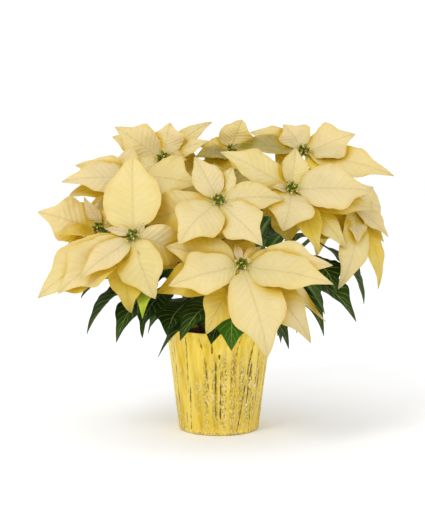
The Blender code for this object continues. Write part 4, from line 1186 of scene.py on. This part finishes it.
def sheet_tree(chosen, start, across, along):
    """Blades as coarse sheets, one after the other, each from a share of its length to its tip."""
    bm = bmesh.new()
    for blade in chosen:
        for vert in bmesh.ops.create_grid(bm, x_segments=across, y_segments=along, size=1)["verts"]:
            share = between((start, 1), (vert.co.y + 1) / 2)
            vert.co, _ = fine_place(blade, Vector((vert.co.x, share, 0)))
    tree = BVHTree.FromBMesh(bm)
    bm.free()
    return tree


def open_sheet(blade):
    """All of a blade but its base, which may cross no other."""
    return sheet_tree([blade], OPEN_FROM, 2 * SHEET_ACROSS, 2 * SHEET_ALONG)


def crossings(own, sheet):
    """How many faces of the other blades a sheet crosses."""
    return sum(len(sheet.overlap(other)) for number, other in enumerate(open_sheets) if number != own)


def ease_apart(own):
    """Shifts the middle of a blade by the least that frees it."""
    tries = []
    for shift in EASINGS:
        blades[own]["shift"] = shift * MM
        sheet = open_sheet(blades[own])
        tries.append((crossings(own, sheet), abs(shift), shift * MM, sheet))
    _, _, blades[own]["shift"], open_sheets[own] = min(tries, key=lambda row: row[:2])


open_sheets = [open_sheet(blade) for blade in blades]
for own, sheet in enumerate(open_sheets):
    if crossings(own, sheet):
        ease_apart(own)
crossed = [own for own, sheet in enumerate(open_sheets) if crossings(own, sheet)]
print(len(crossed), "blades still cross another past their bases")

# %% [markdown]
# ## Painted shade
# Bracts deep in the plant get painted shade: they are coloured golden where little light from the sky
# reaches them. Paint by hand would go stale when a blade moves, so rays ask from every point how much
# of the sky other blades hide, near ones counting most.

# %% Painted shade from the sky
SKY_RAYS = 24
SKY_DEPTH = 1.35
SHADE_RAY_REACH = 80 * MM
SHADE_RAY_STEP = 0.5 * MM
LEAST_WEIGHT = 1e-6
SMOOTHINGS = 3


def sky_way(number):
    """One of the directions that are spread evenly from straight up to a little below level."""
    height = 1 - SKY_DEPTH * (number + 0.5) / SKY_RAYS
    return around(GOLDEN_ANGLE * number, math.sqrt(1 - height * height), height)


def hidden_share(place, way, own):
    """How strongly the first other blade along a ray hides the sky: 1 if it touches, 0 if none."""
    travelled = SHADE_RAY_STEP
    while travelled < SHADE_RAY_REACH:
        _, _, index, distance = sheets.ray_cast(place + way * travelled, way, SHADE_RAY_REACH - travelled)
        if index is None:
            return 0
        travelled += distance + SHADE_RAY_STEP
        if index // (SHEET_ACROSS * SHEET_ALONG) != own:
            return max(0, 1 - travelled / SHADE_RAY_REACH)
    return 0


# The share of a point's sky that other blades hide, which is painted on the bract as shade.
def painted_shade_at(place, face, own):
    weights = [(way, way.dot(face)) for way in sky if way.dot(face) > 0]
    shade_to_paint = sum(weight * hidden_share(place, way, own) for way, weight in weights)
    return shade_to_paint / max(LEAST_WEIGHT, sum(weight for _, weight in weights))


def smoothed(values):
    """Each vertex's value averaged with its neighbours'."""
    for _ in range(SMOOTHINGS):
        values = {vert: (value + sum(values.get(edge.other_vert(vert), value) for edge in vert.link_edges))
                  / (1 + len(vert.link_edges)) for vert, value in values.items()}
    return values


sky = [sky_way(number) for number in range(SKY_RAYS)]
sheets = sheet_tree(blades, 0, SHEET_ACROSS, SHEET_ALONG)
print("shelter over the front head:", round(painted_shade_at(heads["front"][1], UP, -1), 2))

# %% [markdown]
# ## Growing the blades
# An extrusion gives the grid a second face, so a blade has a real edge. What a material must know is
# kept on the points: the blade's colour, its upper side and how much painted shade it gets. Textures
# painted for 184 blades would say the same with far more data.

# %% Adding a blade to a piece
ACROSS = 10
ALONG = 24
STALK_ROWS = 3
BRIGHTER = (0.97, 1.02)
PALER = (0.85, 1.1)
# Gold and olive are painted shade: deeper, darker copies of cream for bracts and a leaf that sit in shade,
# and olive is partly the green of those bracts as well.
TONES = {
    "cream": (0.83, 0.74, 0.37),
    "blush": (0.85, 0.73, 0.43),
    "gold": (0.80, 0.62, 0.05),
    "olive": (0.25, 0.235, 0.015),
    "lime": (0.42, 0.50, 0.03),
    "green": (0.020, 0.044, 0.003),
    "mid green": (0.045, 0.15, 0.004),
}


def own_colour(tone, draw):
    """A tone, a little brighter or darker, and paler or deeper in its blue."""
    brighter = draw.uniform(*BRIGHTER)
    paler = draw.uniform(*PALER)
    red, green, blue = TONES[tone]
    return red * brighter, green * brighter, blue * paler, 1


def add_blade(bm, blade, draw):
    """Adds the blade to a bmesh, with its own map: across from 0 to 1 and along from 0 to 1."""
    colour = own_colour(blade["tone"], draw)
    own = blades.index(blade)
    rows = ALONG + STALK_ROWS
    verts = bmesh.ops.create_grid(bm, x_segments=ACROSS, y_segments=rows, size=1, calc_uvs=True)["verts"]
    grown = bmesh.ops.extrude_face_region(bm, geom=faces_round(verts), use_keep_orig=True)["geom"]
    upper = [item for item in grown if isinstance(item, bmesh.types.BMVert)]
    layers = bm.verts.layers
    shade_to_paint = {}
    for group, level in ((verts, -1), (upper, 1)):
        for vert in group:
            row = (vert.co.y + 1) / 2 * rows - STALK_ROWS
            flat = Vector((vert.co.x, row / (STALK_ROWS if row < 0 else ALONG), level))
            vert.co, face = fine_place(blade, flat)
            vert[layers.float_color["tint"]] = colour
            vert[layers.float["top"]] = max(level, 0)
            if level == 1:
                shade_to_paint[vert] = painted_shade_at(vert.co, face, own)
    # Each upper point keeps how much painted shade it gets from the blades that hide its sky.
    for vert, value in smoothed(shade_to_paint).items():
        vert[layers.float["painted_shade"]] = value
    bmesh.ops.recalc_face_normals(bm, faces=faces_round(verts + upper))


def grown_blades(owner, draw):
    bm = bmesh.new()
    bm.loops.layers.uv.new("blade")
    bm.verts.layers.float_color.new("tint")
    for name in ("top", "painted_shade"):
        bm.verts.layers.float.new(name)
    for blade in blades:
        if blade["owner"] == owner:
            add_blade(bm, blade, draw)
    return bm


print(2 * ACROSS * (ALONG + STALK_ROWS) + 2 * (ACROSS + ALONG + STALK_ROWS), "faces a blade")

# %% [markdown]
# ## The net of veins
# Bracts and leaves show the same net: a midrib, side veins that lean towards the tip, and a fine mesh
# between. A photograph of a leaf would fit one outline only. This pattern is drawn from the blade's
# own map, so it follows every form and bend.

# %% Veins
VEIN_PAIRS = 11.0
VEIN_LEAN = 2.1
VEIN_CURVE = 0.85
VEIN_NOISE = 55.0
VEIN_WANDER = 0.5
VEIN_WIDTH = (0.01, 0.075)
VEIN_ENDS = (0.6, 1.0)
MIDRIB_WIDTH = (0.012, 0.05)
MOTTLE_EDGE = (0.35, 0.65)
NET_DETAIL = 3.0


def vein_masks(graph):
    """Side veins and midrib, each from 0 to 1, the way to the next side vein, and the map's two
    directions: from the midrib outwards and along the blade."""
    place = graph.add("UVMap", {"uv_map": "blade"}).outputs[0]
    x, along, _ = graph.add("SeparateXYZ", vector=place).outputs
    across = graph.times(graph.from_half(x), 2.0)
    wander = graph.times(graph.noise(VEIN_NOISE), VEIN_WANDER)
    phase = graph.times(along, VEIN_PAIRS, wander)
    lean = graph.times(graph.math("POWER", across, VEIN_CURVE), VEIN_LEAN)
    off = graph.from_half(graph.math("FRACT", graph.math("SUBTRACT", phase, lean)))
    side = graph.times(graph.band(off, *VEIN_WIDTH), graph.band(across, *VEIN_ENDS))
    return side, graph.band(across, *MIDRIB_WIDTH), off, across, along


def net_relief(graph, off, depth, mesh_scale, mesh_depth):
    """The face, swollen between the side veins, with a fine mesh."""
    mesh = graph.times(graph.noise(mesh_scale, NET_DETAIL), mesh_depth)
    return graph.times(off, depth, mesh)


print(int(VEIN_PAIRS), "pairs of side veins a blade")

# %% [markdown]
# ## Bract finish
# A bract is cream, turned golden by painted shade where the sky doesn't reach it. It is deeper at
# its veins, at its base, where its own colour meets painted shade near the hub, and at its rim, where
# the gold is a painted rim light. Its underside has a painted golden glow of light through it, and
# the bract lets real light through as well: subsurface scattering suits thick things, so this thin
# sheet mixes in a translucent shader.

# %% Bracts
BRACT_PALE = (0.92, 0.83, 0.55)
BRACT_UNDER_PAINTED_GLOW = (0.74, 0.58, 0.06)
BRACT_PAINTED_SHADE = (0.68, 0.47, 0.004)
BRACT_BASE_AND_SHADE = (0.66, 0.56, 0.10)
BRACT_VEIN = (0.62, 0.48, 0.12)
BRACT_MIDRIB = (0.58, 0.48, 0.12)
BRACT_PAINTED_RIM_LIGHT = (0.72, 0.54, 0.05)
BRACT_THROUGH = (0.9, 0.70, 0.03)
BRACT_MOTTLE = (38.0, 3.0)
PALE_SHARE = 0.3
UNDER_GLOW_SHARE = 0.55
PAINTED_SHADE_EDGE = (0.36, 0.01, 0.95)
BASE_AND_SHADE_EDGE = (0.02, 0.3, 0.5)
SIDE_VEIN_SHARE = 0.24
MIDRIB_SHARE = 0.2
PAINTED_RIM_LIGHT_EDGE = (1.0, 0.68, 0.32)
BRACT_NET = (1.1, 480.0, 0.35)
MIDRIB_SUNK = -0.5
BRACT_RELIEF = (1.4 * MM, 0.7)
THROUGH_SHARE = 0.8
TRANSLUCENCY = 0.4
BRACT_ROUGHNESS = 0.5
BRACT_SHINE = 0.35


def bract_material():
    graph = Graph("bract")
    side, midrib, off, across, along = vein_masks(graph)
    tint = graph.attribute("tint", "Color")
    mottle = graph.band(graph.noise(*BRACT_MOTTLE), *MOTTLE_EDGE)
    colour = graph.mix(mottle, graph.mix(PALE_SHARE, tint, BRACT_PALE), tint)
    # The underside gets a painted golden glow of light through the bract.
    colour = graph.mix(graph.attribute("top"), graph.mix(UNDER_GLOW_SHARE, colour, BRACT_UNDER_PAINTED_GLOW), colour)
    # Deeper colours: painted shade where other blades hide the sky, the base's own colour with painted shade
    # near the hub, the veins, and a painted rim light at the edge.
    for share, deeper in (
        (graph.band(graph.attribute("painted_shade"), *PAINTED_SHADE_EDGE), BRACT_PAINTED_SHADE),
        (graph.band(along, *BASE_AND_SHADE_EDGE), BRACT_BASE_AND_SHADE),
        (graph.times(side, SIDE_VEIN_SHARE), BRACT_VEIN),
        (graph.times(midrib, MIDRIB_SHARE), BRACT_MIDRIB),
        (graph.band(across, *PAINTED_RIM_LIGHT_EDGE), BRACT_PAINTED_RIM_LIGHT),
    ):
        colour = graph.mix(share, colour, deeper)
    height = graph.times(midrib, MIDRIB_SUNK, net_relief(graph, off, *BRACT_NET))
    normal = graph.bump(height, *BRACT_RELIEF)
    golden = graph.mix(THROUGH_SHARE, colour, BRACT_THROUGH)
    through = graph.add("BsdfTranslucent", color=golden, normal=normal)
    both = graph.add("MixShader")
    for socket, value in zip(both.inputs, (TRANSLUCENCY, graph.shader.outputs[0], through.outputs[0])):
        graph.feed(socket, value)
    graph.feed(graph.nodes["Material Output"].inputs["Surface"], both.outputs[0])
    return graph.finish(base_color=colour, roughness=BRACT_ROUGHNESS, specular_ior_level=BRACT_SHINE,
                        normal=normal)


bract = bract_material()

# %% [markdown]
# ## Leaf and stem finishes
# A leaf is dark with paler veins and hardly lets light through, and a stem is green bark that turns
# woody low down. Both could be painted, but noise and the height above the floor do it without a
# picture.

# %% Leaves and stems
LEAF_MOTTLE = (0.036, 0.078, 0.005)
LEAF_VEIN = (0.27, 0.37, 0.10)
LEAF_UNDER = (0.07, 0.12, 0.025)
STEM_GREEN = ((0.06, 0.13, 0.025), (0.14, 0.22, 0.06))
STEM_WOOD = ((0.06, 0.04, 0.02), (0.17, 0.13, 0.07))
LEAF_NOISE = (30.0, 4.0)
LEAF_MOTTLED = 0.4
LEAF_SIDE_VEINS = 0.75
LEAF_MIDRIB = 0.9
LEAF_UNDER_SHARE = 0.5
LEAF_NET = (1.4, 420.0, 0.4)
LEAF_ROUGHNESS = (0.25, 0.38)
LEAF_SHINE = 0.1
LEAF_RELIEF = (0.8 * MM, 0.6)
WOODY_EDGE = (150 * MM, 240 * MM)
BARK_STREAKS = (300.0, 4.0, 0.12)
BARK_ROUGHNESS = 0.55
STREAK_DEPTH = (0.6 * MM, 0.6)


def leaf_material():
    graph = Graph("leaf")
    side, midrib, off, _, _ = vein_masks(graph)
    mottle = graph.noise(*LEAF_NOISE)
    tint = graph.attribute("tint", "Color")
    colour = graph.mix(graph.band(mottle, *MOTTLE_EDGE, most=LEAF_MOTTLED), tint, LEAF_MOTTLE)
    veins = graph.math("MAXIMUM", graph.times(side, LEAF_SIDE_VEINS), graph.times(midrib, LEAF_MIDRIB))
    colour = graph.mix(veins, colour, LEAF_VEIN)
    colour = graph.mix(graph.attribute("top"), graph.mix(LEAF_UNDER_SHARE, colour, LEAF_UNDER), colour)
    height = graph.math("SUBTRACT", net_relief(graph, off, *LEAF_NET), midrib)
    return graph.finish(base_color=colour, roughness=graph.times(mottle, *LEAF_ROUGHNESS),
                        specular_ior_level=LEAF_SHINE, normal=graph.bump(height, *LEAF_RELIEF))


def stem_material():
    """Green bark with long streaks, browner low down where it turns woody."""
    graph = Graph("stem")
    streaks = graph.noise(*BARK_STREAKS)
    height = graph.add("SeparateXYZ", vector=graph.place()).outputs[2]
    colour = graph.mix(graph.band(height, *WOODY_EDGE), graph.mix(streaks, *STEM_GREEN),
                       graph.mix(streaks, *STEM_WOOD))
    return graph.finish(base_color=colour, roughness=BARK_ROUGHNESS,
                        normal=graph.bump(streaks, *STREAK_DEPTH))


leaf = leaf_material()
bark = stem_material()

# %% [markdown]
# ## The blooms
# A poinsettia bloom is a whorl of bracts round a cluster of small cups, all on a short green knob at
# the stem's end. One bloom copied and turned would make every head look the same, so each is grown
# from its own blades.

# %% Blooms
HUB_RADIUS = 4.5 * MM
HUB_TAPER = 0.85
HUB_SIDES = 24


def head_frame(name):
    """Turns the up axis to the way a head faces and moves it to the head's place."""
    _, centre, faces, _ = heads[name]
    return Matrix.Translation(centre) @ facing(faces).to_4x4()


draw = random.Random(SEED)
for name in heads:
    bm = grown_blades("bracts_" + name, draw)
    hub = add_cone(bm, HUB_SIDES, HUB_RADIUS * HUB_TAPER, HUB_RADIUS, HUB_HEIGHT, head_frame(name))
    paint(hub, 1)
    add_piece("bloom_" + name, bm, [bract, bark], "bract", "bracts_" + name)

# %% [markdown]
# ## The plants
# Each plant is a short woody trunk that forks low down into green stems, with small knots spaced
# evenly along each stem. Stretched cylinders would show their joints at every bend, so a stem is a
# curve with a round bevel whose radius changes along its way.

# %% Plants
STEM_RADIUS = (3.6 * MM, 2.6 * MM)
STEM_END = 1.1
STEM_STEPS = 22
KNOTS = 7
KNOT_SWELL = 0.35 * MM
KNOT_SHARPNESS = 6
BAR_ROUNDNESS = 3
TRUNK_RUNGS = ((0, 1), (0.55, 1), (0.62, 1.06), (0.7, 0.98), (0.85, 0.96), (0.96, 1), (1, 0.8))


def add_bar(bm, points, radii):
    """Adds a round bar along the points, made from a curve."""
    curve = bpy.data.curves.new("bar", "CURVE")
    curve.dimensions = "3D"
    curve.bevel_depth = 1
    curve.bevel_resolution = BAR_ROUNDNESS
    curve.use_fill_caps = True
    spline = curve.splines.new("POLY")
    spline.points.add(len(points) - 1)
    for spot, point, radius in zip(spline.points, points, radii):
        spot.co = (*point, 1)
        spot.radius = radius
    guide = add_object("bar", curve)
    before = len(bm.verts)
    bm.from_mesh(evaluated_mesh(guide))
    bm.verts.ensure_lookup_table()
    paint(bm.verts[before:], 1)
    bpy.data.objects.remove(guide, do_unlink=True)


def stem_radius(share):
    knot = max(0, math.cos(FULL_TURN * KNOTS * share)) ** KNOT_SHARPNESS
    return between(STEM_RADIUS, share) + KNOT_SWELL * knot


draw = random.Random(SEED)
shares = [step / STEM_STEPS for step in range(STEM_STEPS + 1)]
for trunk in range(len(TRUNK_FEET)):
    bm = grown_blades(plant_name(trunk), draw)
    ends = (on_trunk(trunk, SOIL_TOP - TRUNK_BURIED), on_trunk(trunk, TRUNK_TOP))
    add_bar(bm, [between(ends, share) for share, _ in TRUNK_RUNGS],
            [TRUNK_RADIUS * wide for _, wide in TRUNK_RUNGS])
    for name, (owner, _, faces, _) in heads.items():
        if owner == trunk:
            points = [bezier(curves[name], share)[0] for share in shares]
            points.append(curves[name][-1] + faces * STEM_STRAIGHT)
            add_bar(bm, points, [stem_radius(share) for share in shares] + [STEM_RADIUS[1] * STEM_END])
    add_piece("leafy_" + plant_name(trunk), bm, [leaf, bark], "green", plant_name(trunk))

# %% [markdown]
# ## The cups in the middle
# The true flowers are small green cups: a barrel with a narrow mouth, a yellow gland on its outer
# side, and a few stamens that end in yellow grains. A lathe profile would do for the barrel, but a
# ball is quicker to shape, and its poles close both ends.

# %% One cup
CUP_RADIUS = 2.4 * MM
CUP_HEIGHT = 6.8 * MM
CUP_SEGMENTS = 12
CUP_LEVELS = 8
CUP_WIDTH = (0.62, 0.38)
CUP_SHOULDER = 1.15
CUP_FLATNESS = 1.6
CUP_RIDGES = 5
RIDGE_HEIGHT = 0.06
GLAND_RADIUS = 1.4 * MM
GLAND_PLACE = (0.95, 0.78)
GLAND_FLATNESS = 0.62
STAMENS = 4
STAMEN_SPREAD = 0.3
STAMEN_LENGTH = (1.4 * MM, 3.4 * MM)
STAMEN_RADIUS = 0.22 * MM
STAMEN_SUNK = 0.6 * MM
STAMEN_LEAN = 0.55 * MM
STAMEN_OUT = 1.5
STAMEN_SIDES = 5
GRAIN_RADIUS = 0.5 * MM
GRAIN_OUT = 2.2
BALL_LEVELS = 4
GLAND_PAINT, STAMEN_PAINT, GRAIN_PAINT = 1, 2, 3


def add_ball(bm, radius, segments, matrix, index):
    made = bmesh.ops.create_uvsphere(bm, u_segments=segments, v_segments=BALL_LEVELS, radius=radius,
                                     matrix=matrix)
    paint(made["verts"], index)


def cup_place(ball):
    """Where a point of a ball goes on the barrel, which has low ridges and a narrow mouth."""
    height = (ball.z + 1) / 2
    wide = CUP_WIDTH[0] + CUP_WIDTH[1] * math.sin(math.pi * min(1, height * CUP_SHOULDER))
    flat = ball.xy.normalized() * CUP_RADIUS * wide * min(1, ball.xy.length * CUP_FLATNESS)
    ridge = 1 + RIDGE_HEIGHT * math.cos(CUP_RIDGES * math.atan2(flat.y, flat.x))
    return Vector((flat.x * ridge, flat.y * ridge, CUP_HEIGHT * height))


def add_cup(bm, frame_at, out, draw):
    """A barrel shaped from a ball, with its gland and stamens."""
    made = bmesh.ops.create_uvsphere(bm, u_segments=CUP_SEGMENTS, v_segments=CUP_LEVELS, radius=1)
    for vert in made["verts"]:
        vert.co = frame_at @ cup_place(vert.co)
    side = Matrix.Translation(out * CUP_RADIUS * GLAND_PLACE[0] + UP * CUP_HEIGHT * GLAND_PLACE[1])
    squashed = Matrix.Diagonal((1, 1, GLAND_FLATNESS, 1))
    add_ball(bm, GLAND_RADIUS, 2 * BALL_LEVELS, frame_at @ side @ squashed, GLAND_PAINT)
    for number in range(STAMENS):
        turn = FULL_TURN * (number + draw.uniform(-STAMEN_SPREAD, STAMEN_SPREAD)) / STAMENS
        lean = around(turn, STAMEN_LEAN, 0)
        length = draw.uniform(*STAMEN_LENGTH)
        middle = lean * STAMEN_OUT + UP * (CUP_HEIGHT + (length - STAMEN_SUNK) / 2)
        rod = add_cone(bm, STAMEN_SIDES, STAMEN_RADIUS, STAMEN_RADIUS, length + STAMEN_SUNK,
                       frame_at @ Matrix.Translation(middle))
        paint(rod, STAMEN_PAINT)
        tip = frame_at @ Matrix.Translation(lean * GRAIN_OUT + UP * (CUP_HEIGHT + length))
        add_ball(bm, GRAIN_RADIUS, STAMEN_SIDES + 1, tip, GRAIN_PAINT)


widest = max(cup_place(Vector((1, 0, step / CUP_LEVELS))).x for step in range(CUP_LEVELS))
print("a cup is", round(widest / MM * 2, 1), "mm wide and", round(CUP_HEIGHT / MM, 1), "mm high")

# %% [markdown]
# ## The clusters of cups
# One cup stands in the middle of a head and six more lean outwards round it, no two alike. Particles
# could scatter them, but a ring with seeded turns, leans and sizes keeps them apart. A small plate
# seats them on the hub.

# %% Clusters of cups
CUP_RINGS = ((0, 1), (5 * MM, 6))
CUP_SPREAD = 0.2
CUP_LIFT = (0.3, 0.9)
CUP_SIZES = (0.8, 1.15)
CUP_TILT = (8, 34)
PLATE_RADIUS = 7.6 * MM
PLATE_TAPER = 0.6
PLATE_HEIGHT = 2 * MM
SPECKS = (700.0, 3.0)
SPECK_GRAIN = 1500.0
SPECK_RELIEF = (0.2 * MM, 0.5)
CUP_FINISHES = (
    ("cup green", (0.05, 0.085, 0.003), (0.15, 0.20, 0.010), 0.4),
    ("gland", (0.74, 0.50, 0.01), (0.86, 0.64, 0.04), 0.25),
    ("filament", (0.40, 0.30, 0.05), (0.55, 0.20, 0.06), 0.5),
    ("pollen", (0.80, 0.55, 0.03), (0.90, 0.72, 0.12), 0.8),
)


def cup_cluster(name, draw):
    seat = HUB_HEIGHT / 2 + SEAT_GAP
    plate = head_frame(name) @ Matrix.Translation(UP * (seat + PLATE_HEIGHT / 2))
    bm = bmesh.new()
    add_cone(bm, HUB_SIDES, PLATE_RADIUS * PLATE_TAPER, PLATE_RADIUS, PLATE_HEIGHT, plate)
    start = draw.uniform(0, FULL_TURN)
    for radius, count in CUP_RINGS:
        for number in range(count):
            turn = start + FULL_TURN * (number + draw.uniform(-CUP_SPREAD, CUP_SPREAD)) / count
            out = around(turn, 1, 0)
            lift = UP * (seat + PLATE_HEIGHT * draw.uniform(*CUP_LIFT))
            lean = math.radians(draw.uniform(*CUP_TILT)) if radius else 0
            tip = Matrix.Rotation(lean, 4, UP.cross(out)) @ Matrix.Scale(draw.uniform(*CUP_SIZES), 4)
            add_cup(bm, head_frame(name) @ Matrix.Translation(out * radius + lift) @ tip, out, draw)
    return bm


def speckled(name, first, second, roughness):
    graph = Graph(name)
    return graph.finish(base_color=graph.mix(graph.noise(*SPECKS), first, second), roughness=roughness,
                        normal=graph.bump(graph.noise(SPECK_GRAIN), *SPECK_RELIEF))


finishes = [speckled(*row) for row in CUP_FINISHES]
draw = random.Random(SEED)
for name in heads:
    add_piece("cups_" + name, cup_cluster(name, draw), finishes, "cups", "cyathia_" + name)

# %% [markdown]
# ## The floor and the light
# The photograph is a plain studio one: a white floor, and light from all round with a little more
# from the upper left. A sky texture would colour the shadows, so a white world gives the even light,
# and two broad lamps give it a direction.

# %% Floor and light
FLOOR_HALF = 6
FLOOR_WHITE = ((0.94, 0.94, 0.94), (0.96, 0.96, 0.96))
FLOOR_NOISE = 3.0
WORLD_WHITE = (1, 1, 1)
WORLD_STRENGTH = 1.05
LAMP_AIM = Vector((0, 0, 0.25))
LAMPS = (
    ("key", Vector((-1.1, -1.6, 1.9)), 0.8, 21),
    ("fill", Vector((1.8, -1.2, 0.9)), 1.6, 4),
)

bm = bmesh.new()
bmesh.ops.create_grid(bm, x_segments=1, y_segments=1, size=FLOOR_HALF)
floor = add_object("floor", mesh_of("floor", bm))
graph = Graph("floor")
graph.finish(base_color=graph.mix(graph.noise(FLOOR_NOISE), *FLOOR_WHITE), roughness=DULL)
floor.data.materials.append(graph.material)

for name, place, size, power in LAMPS:
    light = bpy.data.lights.new(name, "AREA")
    light.shape = "DISK"
    light.size = size
    light.energy = power
    lamp = add_object(name, light)
    lamp.location = place
    lamp.rotation_euler = (LAMP_AIM - place).to_track_quat("-Z", "Y").to_euler()
    print(name, "lamp stands", round((LAMP_AIM - place).length, 2), "m away")

world = bpy.data.worlds.new("studio")
world.use_nodes = True
sky_light = world.node_tree.nodes["Background"]
sky_light.inputs["Color"].default_value = (*WORLD_WHITE, 1)
sky_light.inputs["Strength"].default_value = WORLD_STRENGTH
bpy.context.scene.world = world
bpy.context.scene.view_settings.view_transform = "Standard"

# %% [markdown]
# ## The camera
# The photograph's even perspective comes from a long lens far away, looking down by under seven
# degrees. A camera moved by eye would do for one view, but these numbers make the pot's base and rim
# curve as they do there, and can be checked.

# %% Camera
IMAGE_HEIGHT = 515
FOCAL_PIXELS = 1497
CAMERA_PLACE = (-9.6 * MM, -2200 * MM, 512 * MM)
CAMERA_DOWN = math.radians(6.64)
SENSOR = 36

lens = bpy.data.cameras.new("camera")
lens.sensor_width = SENSOR
lens.lens = FOCAL_PIXELS / IMAGE_HEIGHT * SENSOR
camera = add_object("camera", lens)
camera.location = CAMERA_PLACE
camera.rotation_euler = (FULL_TURN / 4 - CAMERA_DOWN, 0, 0)
bpy.context.scene.camera = camera
print("lens", round(lens.lens, 1), "mm")
